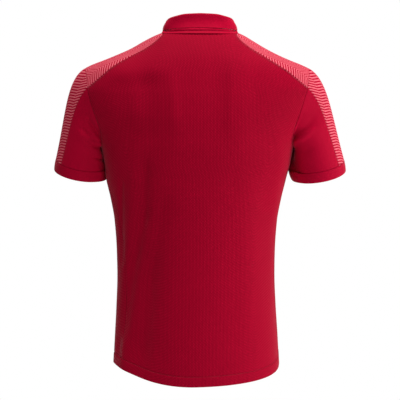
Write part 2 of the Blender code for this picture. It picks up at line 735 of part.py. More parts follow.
def make_side(side):
    """The yoke, sleeve strip, sleeve and cuff of one arm."""
    sign = 1 if side == "left" else -1
    left = side == "left"
    yoke = yoke_grid(sign)
    walls = wall_plan(yoke.shape)
    make_sheet(f"yoke_{side}", trimmed(yoke, SEAM_GAP), walls, COLOURS["pattern"], flip=not left)
    ring = sleeve_ring(sign)
    strip = ring[:, : 2 * YOKE_ROWS + 1]
    under = np.concatenate([ring[:, 2 * YOKE_ROWS :], ring[:, :1]], axis=1)
    for name, grid, colour in (("sleeve_strip", strip, "pattern"), ("sleeve", under, "plain")):
        sheet = trimmed(grid, SEAM_GAP)
        make_sheet(f"{name}_{side}", sheet, wall_plan(sheet.shape), COLOURS[colour], flip=left)
    cuff = cuff_grid(sign)
    walls = wall_plan(cuff.shape, "t", HEM_ROWS, HEM_WALL)
    cuff = trimmed(cuff, 0, closed=True)
    make_sheet(f"cuff_{side}", cuff, walls, COLOURS["plain"], flip=left, closed=True)


def make_collar():
    grid = collar_grid()
    walls = np.full(grid.shape[:2], COLLAR_WALL)
    make_sheet("collar", grid, walls, COLOURS["collar"])


def make_opening():
    """The placket's two bands and the buttons on the outer one."""
    outer = placket_grid(LAYER_GAP + PLACKET_LAYER)
    inner = placket_grid(-(WALL + LAYER_GAP))
    walls = np.full(outer.shape[:2], PLACKET_LAYER)
    make_sheet("placket_over", trimmed(outer, SEAM_GAP), walls, COLOURS["body"], flip=True)
    make_sheet("placket_under", trimmed(inner, SEAM_GAP), walls, COLOURS["body"], flip=True)
    normals = -grid_normals(outer)
    line, ways = outer[::-1, 2], normals[::-1, 2]
    for number, height in enumerate(BUTTON_HEIGHTS, 1):
        place, way = (
            np.array([np.interp(height, line[:, 2], values[:, axis]) for axis in range(3)])
            for values in (line, ways)
        )
        make_button(f"button_{number}", place, unit(way))


def main():
    for existing in list(bpy.data.objects):
        bpy.data.objects.remove(existing, do_unlink=True)
    collection = bpy.data.collections.new(COLLECTION)
    bpy.context.scene.collection.children.link(collection)
    make_panels()
    make_side("left")
    make_side("right")
    make_collar()
    make_opening()


main()
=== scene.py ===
"""Looks for a short-sleeved polo shirt, filled out as if it were worn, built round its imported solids.

The wearer faces -Y, so the camera stands at +Y and sees the back. The cloth is thin shells on the solids'
form. Tables and named sizes are in millimetres and degrees, apart from those that say metres.
"""

import math
from collections import namedtuple

import bmesh
import bpy
import numpy as np
from mathutils import Matrix, Vector


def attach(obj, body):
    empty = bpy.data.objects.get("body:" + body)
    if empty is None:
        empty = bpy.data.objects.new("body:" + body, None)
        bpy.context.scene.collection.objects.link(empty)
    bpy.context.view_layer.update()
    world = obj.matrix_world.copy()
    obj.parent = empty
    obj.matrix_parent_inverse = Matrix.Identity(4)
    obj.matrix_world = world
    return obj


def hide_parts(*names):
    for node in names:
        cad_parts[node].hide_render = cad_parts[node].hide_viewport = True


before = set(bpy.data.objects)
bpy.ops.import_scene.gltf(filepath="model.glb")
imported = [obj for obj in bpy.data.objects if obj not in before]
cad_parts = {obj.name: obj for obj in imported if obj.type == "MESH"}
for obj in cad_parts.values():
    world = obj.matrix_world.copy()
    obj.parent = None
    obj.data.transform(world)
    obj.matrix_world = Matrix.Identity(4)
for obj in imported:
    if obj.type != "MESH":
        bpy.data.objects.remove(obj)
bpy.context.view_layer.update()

MM = 0.001

# Cloth
CLOTH = 1.1  # wall of the body, yokes, strips and sleeves
COLLAR_CLOTH = 1.7
PLACKET_CLOTH = 1.2
SEAM_GAP = 0.5
HEM_DEPTH = 20.0

# Heights
SIDE_HEM_Z = -674.0
HEM_TILT = 0.024  # the hem hangs a little lower at the wearer's left
BACK_HEM_DROP = 45.0
FRONT_HEM_DROP = 20.0
HEM_CURVE_LEFT = 1.9  # how late the hem drops away from the side seam
HEM_CURVE_RIGHT = 0.53
UNDERARM_Z = -234.0
TIP_Z = -120.0  # where yoke, sleeve strip, sleeve and panel meet
UNDERARM_ANGLE = 6.0
BACK_TIP_ANGLE = 32.0
FRONT_TIP_ANGLE = 34.0

# Neck
NECK_HALF = 72.5
NECK_SQUARE = 2.2
BACK_NECK_DROP = 4.0
FRONT_NECK_DROP = 78.0
BACK_YOKE_START = 15.5  # degrees round the neckline from the high shoulder point
FRONT_YOKE_START = 5.5
YOKE_SEAM_END = 223.0
SHOULDER_HALF = 229.0

# Front opening
SLOT_HALF = 12.0
PLACKET_REACH = 1.12  # columns from the middle of the front
PLACKET_OUT = 1.65  # from the front's face to the outer band's face
PLACKET_IN = -1.95
BUTTON_HEIGHTS = (-94.0, -148.0, -202.0)
BUTTON_RADIUS = 5.6
BUTTON_THICK = 2.4

# The solids' grid, which the fine grids keep to
NECK_COLUMNS = 7
SEAM_COLUMNS = 7
LAST_COLUMN = NECK_COLUMNS + SEAM_COLUMNS
YOKE_ROWS = 5
ARMHOLE_ROWS = 9
ROW_BUNCHING = 1.2
BODY_ROWS = 21
LAST_ROW = ARMHOLE_ROWS + BODY_ROWS
KEEP_ROWS = 6
SLOT_SHARE = 0.027
TIP_SHARE = 0.3
COLLAR_ROLL = 3.5
COLLAR_END_GAP = 0.8
UPRIGHT_END = 0.2

Section = namedtuple("Section", "z half_width back front square centre_x")
SECTIONS = (
    Section(0, 72.5, 48, 44, 2.2, 0),
    Section(-8, 91.7, 55, 49, 2.2, 1),
    Section(-20.6, 114.5, 67, 56, 2.2, 3),
    Section(-33, 135.5, 77, 62, 2.15, 3.5),
    Section(-45, 159.5, 85, 67, 2.1, 5),
    Section(-57.7, 188.5, 92, 72, 2.1, 6.5),
    Section(-70, 219.3, 97, 77, 2.1, 7),
    Section(-82.4, 242, 101, 82, 2.1, 5.8),
    Section(-95, 253, 104.5, 87, 2.1, 4.7),
    Section(-120, 262, 110, 97, 2.1, 5),
    Section(-135, 257, 113, 102, 2.1, 6),
    Section(-161, 243, 116, 109, 2.15, 6),
    Section(-184, 227, 117.5, 114, 2.2, 6),
    Section(-205, 213, 118, 118, 2.2, 6),
    Section(-234, 199.5, 118, 121, 2.25, 6),
    Section(-271, 191, 115.5, 122.5, 2.3, 5.5),
    Section(-305, 184.5, 112, 122, 2.2, 8.2),
    Section(-342, 175.5, 110, 120, 2.12, 8.4),
    Section(-387, 167.3, 107, 117, 2.06, 8.6),
    Section(-449, 162.8, 105, 113, 2.03, 8.6),
    Section(-500, 161.8, 104.5, 111.5, 2.03, 8.4),
    Section(-562, 164, 106, 111, 2.03, 8.2),
    Section(-624, 167.5, 108, 112, 2.03, 7.8),
    Section(-725, 172.5, 110, 114, 2.05, 7.8),
)

SeamPoint = namedtuple("SeamPoint", "x z")
YOKE_SEAM = (
    SeamPoint(71, -2.4),
    SeamPoint(85, -21.3),
    SeamPoint(104, -37),
    SeamPoint(131, -53),
    SeamPoint(158, -70),
    SeamPoint(178, -83.8),
    SeamPoint(196, -98.5),
    SeamPoint(223, -120),
)

SideSeam = namedtuple("SideSeam", "z left right")
SIDE_SEAMS = (
    SideSeam(-234, 6, 6),
    SideSeam(-330, 15, 7),
    SideSeam(-440, 25, 8),
    SideSeam(-540, 27, 8),
    SideSeam(-690, 23, 7),
)

# Soft folds: a crest (height above 0) or trough along a line between two places on the back or front.
Fold = namedtuple("Fold", "face x0 z0 x1 z1 width height")
FOLDS = (
    Fold("back", 118, -130, 116, -185, 38, -8.0),  # hollow and ridges over the shoulder blades
    Fold("back", 130, -140, 128, -162, 20, 4.0),
    Fold("back", 56, -125, 53, -175, 14, 2.0),
    Fold("back", 146, -93, 108, -90, 19, 4.0),
    Fold("back", -80, -105, -78, -200, 22, 2.0),
    Fold("back", -30, -50, -30, -115, 22, -1.5),  # along the spine
    Fold("back", 112, -292, 114, -366, 12, -5.5),  # long soft folds down the wearer's left flank
    Fold("back", 120, -396, 134, -456, 12, -5.5),
    Fold("back", 140, -490, 159, -610, 12, -5.0),
    Fold("back", 76, -376, 92, -456, 13, -2.5),
    Fold("back", 104, -510, 119, -635, 22, -7.0),
    Fold("back", 112, -480, 118, -630, 40, -4.0),
    Fold("back", 159, -630, 155, -680, 13, 2.0),
    Fold("back", -161, -235, -156, -360, 12, 1.5),  # the wearer's right flank
    Fold("back", -128, -346, -138, -540, 17, -1.5),
    Fold("back", -92, -420, -96, -600, 20, 1.0),
    Fold("front", 78, -150, 82, -215, 48, 5.0),  # chest
    Fold("front", -78, -150, -82, -215, 48, 5.0),
    Fold("front", 0, -180, 2, -330, 26, -3.0),
    Fold("front", 128, -300, 104, -470, 13, -4.0),
    Fold("front", 106, -330, 86, -480, 12, 3.0),
    Fold("front", -132, -290, -112, -430, 13, -4.0),
    Fold("front", -108, -350, -98, -520, 13, 3.0),
    Fold("front", 96, -520, 104, -650, 18, -4.0),
    Fold("front", -60, -500, -74, -660, 20, -4.0),
)

# Narrower folds in the same form, which the solids are too coarse to show
CREASES = (
    Fold("back", -62, -100, -58, -190, 10, 1.2),
    Fold("back", 135, -304, 146, -446, 9, 2.0),
    Fold("back", 159, -316, 160, -470, 5, -2.5),
    Fold("back", 167, -640, 167, -656, 6, -4.0),
)

# Creases of the sleeves as they are seen from behind
SLEEVE_CREASES = (
    Fold("back", 224, -186, 206, -220, 5, -4.5),
    Fold("back", 235, -207, 210, -232, 5, -3.0),
    Fold("back", 224, -230, 206, -244, 5, -2.5),
    Fold("back", 203, -246, 204, -277, 6, -3.0),
    Fold("back", 213, -226, 200, -229, 3.5, -3.0),
    Fold("back", 213, -239, 199, -243, 3.5, -3.0),
    Fold("back", 211, -262, 199, -266, 3.5, -3.0),
    Fold("back", -192, -230, -218, -211, 7, 4.0),
    Fold("back", -189, -225, -192, -284, 13, -8.0),
)
FOLD_END = 0.45  # how fast a fold fades past its ends, as a share of how fast it fades sideways
FOLD_SIDE_FADE = 30.0  # folds fade out this near the plane between back and front

# Sleeves
CUFF_CENTRE = (249.5, -20.0, -290.8)
CUFF_RADIUS = 53.3
CUFF_OUTWARD_TILT = 10.3
CUFF_BACK_TILT = 18.0
CUFF_HEIGHT = 22.0
CUFF_BULGE = 0.8
STRIP_ANGLE = 41.0
Cuff = namedtuple("Cuff", "lower inner_seam inner_edge")
CUFFS = {1: Cuff(0.0, 50.0, 52.0), -1: Cuff(2.5, 58.0, 56.0)}

# A sleeve's curve from armhole to cuff, by share from the top of the arm (0) to the underarm (1): the lengths
# of its handles at armhole and cuff, as shares of its chord, and how far it follows the arm as it leaves.
SleeveHandle = namedtuple("SleeveHandle", "share leave follow arrive")
SLEEVE_HANDLES = (
    SleeveHandle(0.0, 0.225, 0.0, 0.5),
    SleeveHandle(0.35, 0.25, 0.4, 0.42),
    SleeveHandle(0.7, 0.28, 0.75, 0.36),
    SleeveHandle(1.0, 0.28, 1.0, 0.34),
)

# Creases that fan out from the armpit over the sleeve, the same before and behind. Around is 0 at the top of
# the sleeve and 1 at the underarm; along is 0 at the armhole and 1 at the cuff.
SleeveFold = namedtuple("SleeveFold", "around0 along0 around1 along1 width height")
SLEEVE_FOLDS = (
    SleeveFold(0.86, 0.05, 0.52, 0.32, 0.08, -2.2),
    SleeveFold(0.95, 0.2, 0.66, 0.6, 0.08, -2.0),
    SleeveFold(0.8, 0.2, 0.52, 0.5, 0.08, 1.5),
)
SLEEVE_FOLD_END = 0.6
SLEEVE_TOP_FADE = 0.12
SLEEVE_CREASE_FADE = 0.1
SLEEVE_CUFF_FADE = 0.15

# Collar, by share of its half length from centre back (0) to centre front (1): how high the stand rises and
# how far it leans in, then where the leaf's edge hangs and how far the leaf bulges out halfway down.
CollarRise = namedtuple("CollarRise", "share rise lean")
COLLAR_RISES = (
    CollarRise(0.0, 37.1, 6),
    CollarRise(0.12, 35.7, 5),
    CollarRise(0.2, 31.5, 3.5),
    CollarRise(0.26, 28, 4.5),
    CollarRise(0.31, 23.5, 6),
    CollarRise(0.36, 21, 7),
    CollarRise(0.42, 20.3, 8),
    CollarRise(0.6, 21.5, 7),
    CollarRise(1.0, 25, 3),
)
CollarEdge = namedtuple("CollarEdge", "share x y z bulge")
COLLAR_EDGES = (
    CollarEdge(0.0, 0, 55.2, 3.7, -2.2),
    CollarEdge(0.1, 25.7, 53.5, 3.5, -2.2),
    CollarEdge(0.2, 52.9, 45.2, 2.5, -0.8),
    CollarEdge(0.25, 64.7, 37.6, 1.3, 0.8),
    CollarEdge(0.3, 73.6, 27.2, 0.9, 2),
    CollarEdge(0.36, 76.9, 9, 1.1, 2),
    CollarEdge(0.42, 77.0, -9.4, 0.5, 2),
    CollarEdge(0.49, 78.0, -25, -3.2, 2),
    CollarEdge(0.58, 80.5, -47, -16, 1.5),
    CollarEdge(0.72, 79, -72, -46, 1.5),
    CollarEdge(0.86, 66, -89, -86, 1.5),
    CollarEdge(1.0, 46, -102, -120, 1.5),
)

# Fineness of the shells
SIDE_STEPS = 6  # fine columns for each of the solids' columns
ROW_STEPS = 6
ARMHOLE_STEPS = 6  # the same as ROW_STEPS, so that sleeve and panel meet point to point
SLEEVE_ROWS = 72
EDGE_STOPS = (0.12, 0.3, 0.55)  # extra rows and columns beside a seam, in shares of the first step
HEM_STOPS = (-0.2, -0.1, -0.05, 0.0, 0.05, 0.1, 0.2)  # extra rows beside the hem's stitching
STAND_STOPS = (0.0, 0.03, 0.06, 0.1, 0.14, 0.18, 0.23, 0.29, 0.36, 0.5, 0.7, 0.85, 1.0)
ROLL_ROWS = 10
FALL_ROWS = 22
COLLAR_WINDOW = 6  # fine columns each way over which the neckline's direction is read
COLLAR_YOKE_STEPS = 4  # fine columns of the collar for each of a yoke's rows
COLLAR_INSET = 2.0
FOOT_OUT = 5.6  # the stand's foot stands out in a rounded strip that shows below the leaf's edge
FOOT_CLEAR = 2.6  # from the top of that strip up to the leaf's edge
FOOT_FADE = 3.2
FOOT_DIP = 1.8  # a groove where the strip meets the seam
FOOT_DIP_WIDTH = 0.03
CUFF_STOPS = (1.0, 0.97, 0.92, 0.85, 0.7, 0.5, 0.3, 0.15, 0.06, 0.0)
CUFF_CLOTH = 1.8
PLACKET_END = 9.5
PLACKET_ROWS = 60
PLACKET_COLUMNS = 15

# Where a sleeve hangs beside the torso, it is drawn in until it all but touches it.
SLEEVE_GAP = 0.1
SLEEVE_PULL = 6.0
SLEEVE_PULL_REACH, SLEEVE_PULL_REACH_FADE = 9.0, 30.0
SLEEVE_PULL_DEPTH, SLEEVE_PULL_DEPTH_FADE = 30.0, 45.0
SLEEVE_PULL_TOP, SLEEVE_PULL_TOP_FADE = -185.0, 20.0

# Seams: a piece's seam allowance laps under the next piece.
LAP = 5.0
LAP_AIM = 6  # fine lines back from the edge, by which the lap's direction is set
LAP_DEPTH = 1.25
DEEP_LAP_DEPTH = 2.1

# The cloth rolls in beside each seam, and the hem's double cloth stands out.
SEAM_ROLL = 0.4
SEAM_ROLL_WIDTH = 1.0
CUFF_ROLL = 0.2
HEM_STEP = 0.5
HEM_GROOVE = 0.8
HEM_GROOVE_WIDTH = 1.6
# Share of the hem's groove that is painted with shade, like the seams
HEM_GROOVE_PAINTED_SHADE = 0.8
PLACKET_ROLL = 0.3
YOKE_STITCH_ROW = 0.25
STITCH_START = 0.1  # columns from a seam to the first and last stitch beside it
HEM_STITCH_PLACES = 240
YOKE_STITCH_PLACES = 90
PLACKET_STITCH_INSET = 5  # fine lines from the band's edge
PLACKET_STITCH_ROWS = 4  # fine lines between the two rows across the band's lower end

# Sewing thread: each ring of a stitch by its share of the length and of the thread's radius
STITCH_PITCH = 3.0
STITCH_LENGTH = 2.3
STITCH_AIM = 0.5  # how far each way from its middle a stitch's direction is read
THREAD_RADIUS = 0.22
THREAD_LIFT = 0.1
THREAD_SIDES = 6
THREAD_RINGS = ((-0.5, 0.35), (-0.36, 0.9), (0.0, 1.0), (0.36, 0.9), (0.5, 0.35))

BUTTON_HOLE = 0.8
BUTTON_HOLE_RING = 1.7
BUTTON_RIM = 0.12  # shares of the radius: the flat rim, then the slope into the sunk face
BUTTON_SLOPE = 0.16
BUTTON_SINK = 0.35  # of the thickness
BUTTON_ROUNDING = 0.22
BUTTON_GAP = 0.35
BUTTON_SIDES = 64
BUTTON_HOLE_SIDES = 20
BUTTON_THREAD_PITCH = 0.98  # of a bar's length, so each bar is one stitch

UV_NAME = "cut"
# Point attribute of where shade is painted in the seams and the hem's groove
SEAM_NAME = "seam"
SHARP_ANGLE = 40.0

# What all the cloths' finishes share
# Painted shade: how far the cloth's colour is drawn towards its shade colour in the seams and the hem's
# groove
SEAM_PAINTED_SHADE = 0.2
SHEEN_ROUGHNESS = 0.3
SHEEN_TINT = (1.0, 0.42, 0.48, 1.0)
LOOP_SHINE = -0.12  # the knit's raised loops are smoother than the gaps between them
KNIT_DEPTH = 0.0005
DYE_SCALE = 14.0
PRINT_SOFTNESS = 0.06

# Specks in thread and resin
SPECK_SCALE = 900.0
SPECK_SHADE = 0.7
SPECK_DULLING = 0.15

# The flat cut of what shows of each piece: width and length in metres, area in square metres
Cut = namedtuple("Cut", "width length area")

# Studio, in metres
FLOOR_Z = -1.45
FLOOR_RADIUS = 4.4
FLOOR_SIDES = 96
FLOOR_GRAIN = 3.0
FLOOR_GREY = (0.84, 0.84, 0.84, 1.0)
FLOOR_WHITE = (0.88, 0.88, 0.88, 1.0)
CAMERA_DISTANCE = 3.2
CAMERA_Z = -0.346
FRAME_WIDTH = 0.824  # what the camera sees from side to side at the shirt's middle
FILL = 0.25  # strength of the white surroundings' light on the shirt
LIGHT_AIM = (0.0, 0.0, -0.35)
LIGHT_SIZE = 1.2
Light = namedtuple("Light", "name place power")
LIGHTS = (
    Light("key", (-3.15, 0.5, -0.35), 80.0),
    Light("back", (-1.35, 2.9, -0.35), 20.0),
    Light("top", (0.0, 0.56, 2.8), 113.0),
    Light("right_rim", (-3.0, -1.3, -0.35), 9.0),
)


class Curve:
    """Smooth curve through (x, y) points that never overshoots between them."""

    def __init__(self, points):
        self.x, self.y = np.array(sorted(points), float).T
        rise = np.diff(self.y) / np.diff(self.x)
        both = rise[:-1] * rise[1:]
        total = np.where(both > 0, rise[:-1] + rise[1:], 1.0)
        inner = np.where(both > 0, 2 * both / total, 0.0)
        self.slope = np.concatenate([rise[:1], inner, rise[-1:]])

    def __call__(self, at):
        at = np.clip(at, self.x[0], self.x[-1])
        i = np.clip(np.searchsorted(self.x, at, side="right") - 1, 0, len(self.x) - 2)
        width = self.x[i + 1] - self.x[i]
        t = (at - self.x[i]) / width
        start = (1 + 2 * t) * (1 - t) ** 2 * self.y[i] + t * (1 - t) ** 2 * width * self.slope[i]
        end = t * t * (3 - 2 * t) * self.y[i + 1] - t * t * (1 - t) * width * self.slope[i + 1]
        return start + end


def columns(table, key):
    """One Curve for each of a table's other columns, read by its key column."""
    names = [name for name in table[0]._fields if name != key]
    return {name: Curve([(getattr(row, key), getattr(row, name)) for row in table]) for name in names}


FORM = columns(SECTIONS, "z")
SEAM_Z = Curve([(point.x, point.z) for point in YOKE_SEAM])
SIDE = columns(SIDE_SEAMS, "z")
HANDLE = columns(SLEEVE_HANDLES, "share")
RISE = columns(COLLAR_RISES, "share")
EDGE = columns(COLLAR_EDGES, "share")


def ease(t):
    """0 to 1 with level ends."""
    t = np.clip(t, 0.0, 1.0)
    return t * t * (3 - 2 * t)


def unit(v):
    """Vectors along the last axis, each made one long."""
    return v / np.maximum(np.linalg.norm(v, axis=-1, keepdims=True), 1e-9)


def power(value, exponent):
    """A power that keeps the sign."""
    return np.sign(value) * np.abs(value) ** exponent


def stack(x, y, z):
    """Points from their coordinates."""
    return np.stack(np.broadcast_arrays(x, y, z), axis=-1).astype(float)


def both_ways(count, steps):
    """Places from -count to count, with so many steps to each whole one."""
    return np.arange(-count * steps, count * steps + 1) / steps


def ways(grid, axis):
    """Distance of each point from the first line of the grid, along an axis."""
    steps = np.linalg.norm(np.diff(grid, axis=axis), axis=-1)
    first = np.zeros_like(np.take(steps, [0], axis=axis))
    return np.concatenate([first, np.cumsum(steps, axis=axis)], axis=axis)


def read_along(at, way, values):
    """Points or directions at places along a way, between the rows of a table."""
    return np.stack([np.interp(at, way, values[:, axis]) for axis in range(3)], axis=-1)


def fold_profile(u, v, start, end, width, end_fade):
    """A fold's height at places (u, v), as a share of its height on the line from its start to its end."""
    line = np.array([end[0] - start[0], end[1] - start[1]])
    length = np.hypot(*line)
    t = ((u - start[0]) * line[0] + (v - start[1]) * line[1]) / length**2
    across = np.abs((u - start[0]) * line[1] - (v - start[1]) * line[0]) / length
    past = np.maximum(np.maximum(-t, t - 1), 0.0) * length
    return np.exp(-(across**2 + (past * end_fade) ** 2) / width**2)


def fold_height(place, folds, middle=0.0):
    """How far folds move the cloth out at places behind or before a middle plane."""
    x, y, z = place[..., 0], place[..., 1] - middle, place[..., 2]
    total = np.zeros(x.shape)
    for fold in folds:
        start, end = (fold.x0, fold.z0), (fold.x1, fold.z1)
        height = fold.height * fold_profile(x, z, start, end, fold.width, FOLD_END)
        total += np.where((y > 0) == (fold.face == "back"), height, 0.0)
    return total * ease(np.abs(y) / FOLD_SIDE_FADE)


def torso(angle, z):
    """Points on the outside of the torso at angles from +X (90 is the centre of the back) and heights."""
    angle, z = np.broadcast_arrays(np.asarray(angle, float), np.asarray(z, float))
    theta = np.radians(angle)
    half, square, centre = FORM["half_width"](z), FORM["square"](z), FORM["centre_x"](z)
    depth = np.where(np.sin(theta) >= 0, FORM["back"](z), FORM["front"](z))
    x = half * power(np.cos(theta), 2 / square)
    y = depth * power(np.sin(theta), 2 / square)
    out = unit(stack(x / half**2, y / depth**2, 0.0))
    place = stack(centre + x, y, z)
    return place + out * fold_height(place, FOLDS + CREASES)[..., None]


def angle_at(x, z, face):
    """The angle at which the section at a height reaches x from its centre line, on the back or front."""
    share = np.clip(x / FORM["half_width"](z), -1.0, 1.0)
    theta = np.degrees(np.arccos(power(share, FORM["square"](z) / 2)))
    return np.where(face == "back", theta, -theta)


def hem_z(angle):
    """Height of the hem at an angle round the torso: lower at centre back than at the sides and front."""
    theta = np.radians(angle)
    drop = np.where(np.sin(theta) > 0, BACK_HEM_DROP, FRONT_HEM_DROP)
    bend = np.where(np.cos(theta) > 0, HEM_CURVE_LEFT, HEM_CURVE_RIGHT)
    x = FORM["half_width"](SIDE_HEM_Z) * np.cos(theta)
    return SIDE_HEM_Z - HEM_TILT * x - drop * np.abs(np.sin(theta)) ** bend


def neck_point(turn, face):
    """x and z on the neckline, a turn in degrees away from the high shoulder point."""
    theta = np.radians(turn)
    x = NECK_HALF * np.maximum(np.cos(theta), 0.0) ** (2 / NECK_SQUARE)
    if face == "back":
        return x, -BACK_NECK_DROP * np.sin(theta) ** 0.5
    return x, -FRONT_NECK_DROP * np.sin(theta) ** (2 / NECK_SQUARE)


def ridge_z(x):
    """Height of the shoulder's top at a distance from its centre line."""
    low, high = np.full(np.shape(x), TIP_Z), np.zeros(np.shape(x))
    for _ in range(30):
        z = (low + high) / 2
        wider = FORM["half_width"](z) > x
        low, high = np.where(wider, z, low), np.where(wider, high, z)
    return low


def neck_turn(x):
    """The turn in degrees at which the neckline is x from its centre line."""
    return math.degrees(math.acos((x / NECK_HALF) ** (NECK_SQUARE / 2)))


def seam_station(j, face):
    """x and z on a panel's top edge at column j: the neckline first, then the yoke seam."""
    start = BACK_YOKE_START if face == "back" else FRONT_YOKE_START
    away = np.abs(j)
    turn = 90 - (90 - start) * away / NECK_COLUMNS
    if face == "front":
        first = neck_turn(SLOT_HALF)
        past_slot = first + (start - first) * (away - 1) / (NECK_COLUMNS - 1)
        turn = np.where(away < 1, 90 - (90 - first) * away, past_slot)
    neck_x, neck_z = neck_point(np.clip(turn, start, 90), face)
    x0, z0 = neck_point(start, face)
    share = (away - NECK_COLUMNS) / SEAM_COLUMNS
    seam_x = x0 + (YOKE_SEAM_END - x0) * share
    seam_z = SEAM_Z(seam_x) + (z0 - SEAM_Z(x0)) * (1 - share)
    on_seam = away > NECK_COLUMNS
    return np.sign(j) * np.where(on_seam, seam_x, neck_x), np.where(on_seam, seam_z, neck_z)


def row_place(i, left, face, top_z, bottom_z):
    """Height of row i between a column's ends, and degrees from the face's middle to the edge at that row."""
    rows_left = LAST_ROW - i
    top_of_hem = bottom_z + HEM_DEPTH
    turn = np.radians(90 * np.clip(i / ARMHOLE_ROWS, 0, 1) ** ROW_BUNCHING)
    tip = BACK_TIP_ANGLE if face == "back" else -FRONT_TIP_ANGLE
    body_z = top_of_hem + (UNDERARM_Z - top_of_hem) * (rows_left - 1) / (BODY_ROWS - 1)
    body_z = np.where(rows_left > 1, body_z, bottom_z + HEM_DEPTH * rows_left)
    side = np.where(left, SIDE["left"](body_z), SIDE["right"](body_z))
    high = i <= ARMHOLE_ROWS
    z = np.where(high, top_z + (UNDERARM_Z - top_z) * np.sin(turn), body_z)
    angle = np.where(high, UNDERARM_ANGLE + (tip - UNDERARM_ANGLE) * np.cos(turn), side)
    return z, np.where(face == "back", 90 - angle, 90 + angle)


def column_share(j, face):
    """Share of the way from the face's middle to its side at column j."""
    away = np.abs(j)
    if face == "back":
        return away / LAST_COLUMN
    past_slot = SLOT_SHARE + (1 - SLOT_SHARE) * (away - 1) / (LAST_COLUMN - 1)
    return np.where(away < 1, SLOT_SHARE * away, past_slot)


def reach(angle, z):
    """Distance of a place on the torso from its centre line, along x."""
    return FORM["half_width"](z) * power(np.cos(np.radians(angle)), 2 / FORM["square"](z))


def panel_place(i, j, face):
    """Angle and height of the points at rows i and columns j of the back or front panel."""
    i, j = np.broadcast_arrays(np.asarray(i, float), np.asarray(j, float))
    left = j > 0
    turn = np.where(left, 1, -1) * (-1 if face == "back" else 1) * column_share(j, face)
    middle = 90.0 if face == "back" else -90.0
    side_z = np.where(i > ARMHOLE_ROWS, SIDE_HEM_Z, TIP_Z)
    spread = row_place(i, left, face, TIP_Z, side_z)[1]
    angle = middle + turn * spread
    top_x, top_z = seam_station(j, face)
    z = row_place(i, left, face, top_z, hem_z(angle))[0]
    keep = 1 - ease(i / KEEP_ROWS)
    edge_z = row_place(i, left, face, TIP_Z, TIP_Z)[0]
    edge_x = reach(90 - spread, edge_z)
    tip_x = reach(90 - row_place(np.zeros(i.shape), left, face, TIP_Z, TIP_Z)[1], TIP_Z)
    kept = angle_at((1 - keep) * reach(angle, z) + keep * top_x * edge_x / tip_x, z, face)
    return np.where(keep > 0, kept, angle), z


def yoke_place(q, s, sign):
    """Angle and height on a yoke: q from the front seam to the back seam, s from the neck to the armhole."""
    q, s = np.broadcast_arrays(np.asarray(q, float), np.asarray(s, float))
    along, across = s / SEAM_COLUMNS, np.abs(q) / YOKE_ROWS
    ridge_x = NECK_HALF + (SHOULDER_HALF - NECK_HALF) * along
    ridge = ridge_z(ridge_x)
    angles, heights = [], []
    for face in ("front", "back"):
        seam_x, seam_z = seam_station(NECK_COLUMNS + np.maximum(s, 1e-9), face)
        z = ridge + (seam_z - ridge) * across ** (1 + ease(4 * along))
        angles.append(angle_at(sign * (ridge_x + (seam_x - ridge_x) * across**2), z, face))
        heights.append(z)
    on_ridge = 0.0 if sign > 0 else 180.0
    angle = np.where(q == 0, on_ridge, np.where(q > 0, angles[1], angles[0]))
    return angle, np.where(q > 0, heights[1], heights[0])


def strip_places(stops, sign):
    """Places on the yoke's end, front to back: angle, height, turn round the cuff, share from the top."""
    q = np.asarray(stops, float)
    angle, z = yoke_place(q, SEAM_COLUMNS, sign)
    return angle, z, STRIP_ANGLE * q / YOKE_ROWS, TIP_SHARE * q / YOKE_ROWS


def armhole_places(stops, face, sign):
    """The same for places down the armhole edge of the back or front panel."""
    i = np.asarray(stops, float)
    way = 1 if face == "back" else -1
    share = i / ARMHOLE_ROWS
    angle, z = panel_place(i, sign * float(LAST_COLUMN), face)
    turn = way * (STRIP_ANGLE + (180 - STRIP_ANGLE) * share)
    return angle, z, turn, way * (TIP_SHARE + (1 - TIP_SHARE) * share)


def armhole(sign):
    """Places round the armhole: strip, down the back, up the front. Every solid's column is on a step."""
    fine = both_ways(YOKE_ROWS, ARMHOLE_STEPS)
    down = np.arange(1, ARMHOLE_ROWS * ARMHOLE_STEPS + 1) / ARMHOLE_STEPS
    parts = (
        strip_places(fine, sign),
        armhole_places(down, "back", sign),
        armhole_places(down[-2::-1], "front", sign),
    )
    return [np.concatenate(values) for values in zip(*parts)]


def torso_normal(angle, z):
    """Outward direction of the torso's surface."""
    sideways = torso(angle + 0.5, z) - torso(angle - 0.5, z)
    return unit(np.cross(sideways, torso(angle, z + 1) - torso(angle, z - 1)))


def cuff_axes():
    """Outward, backward and downward directions of the left cuff's rings."""
    tilt, back = math.radians(CUFF_OUTWARD_TILT), math.radians(CUFF_BACK_TILT)
    outward = np.array([math.cos(tilt), 0.0, math.sin(tilt)])
    backward = np.array([0.0, math.cos(back), -math.sin(back)])
    return outward, backward, unit(np.cross(backward, outward))


def cuff_point(turn, above, sign, swell=0.0):
    """Points on a cuff: degrees from its outer side towards the back, and height above its lower edge."""
    outward, backward, down = cuff_axes()
    turn, above, swell = np.broadcast_arrays(*(np.asarray(v, float) for v in (turn, above, swell)))
    theta = np.radians(turn)
    cuff = CUFFS[sign]
    inner = cuff.inner_edge + (cuff.inner_seam - cuff.inner_edge) * above / CUFF_HEIGHT
    radius = np.where(np.cos(theta) < 0, inner, CUFF_RADIUS)
    sideways = outward * (np.cos(theta) * (radius + swell))[..., None]
    ring = sideways + backward * (np.sin(theta) * (CUFF_RADIUS + swell))[..., None]
    point = np.array(CUFF_CENTRE) + ring - down * above[..., None]
    return point * np.array([sign, 1, 1]) - np.array([0, 0, cuff.lower])


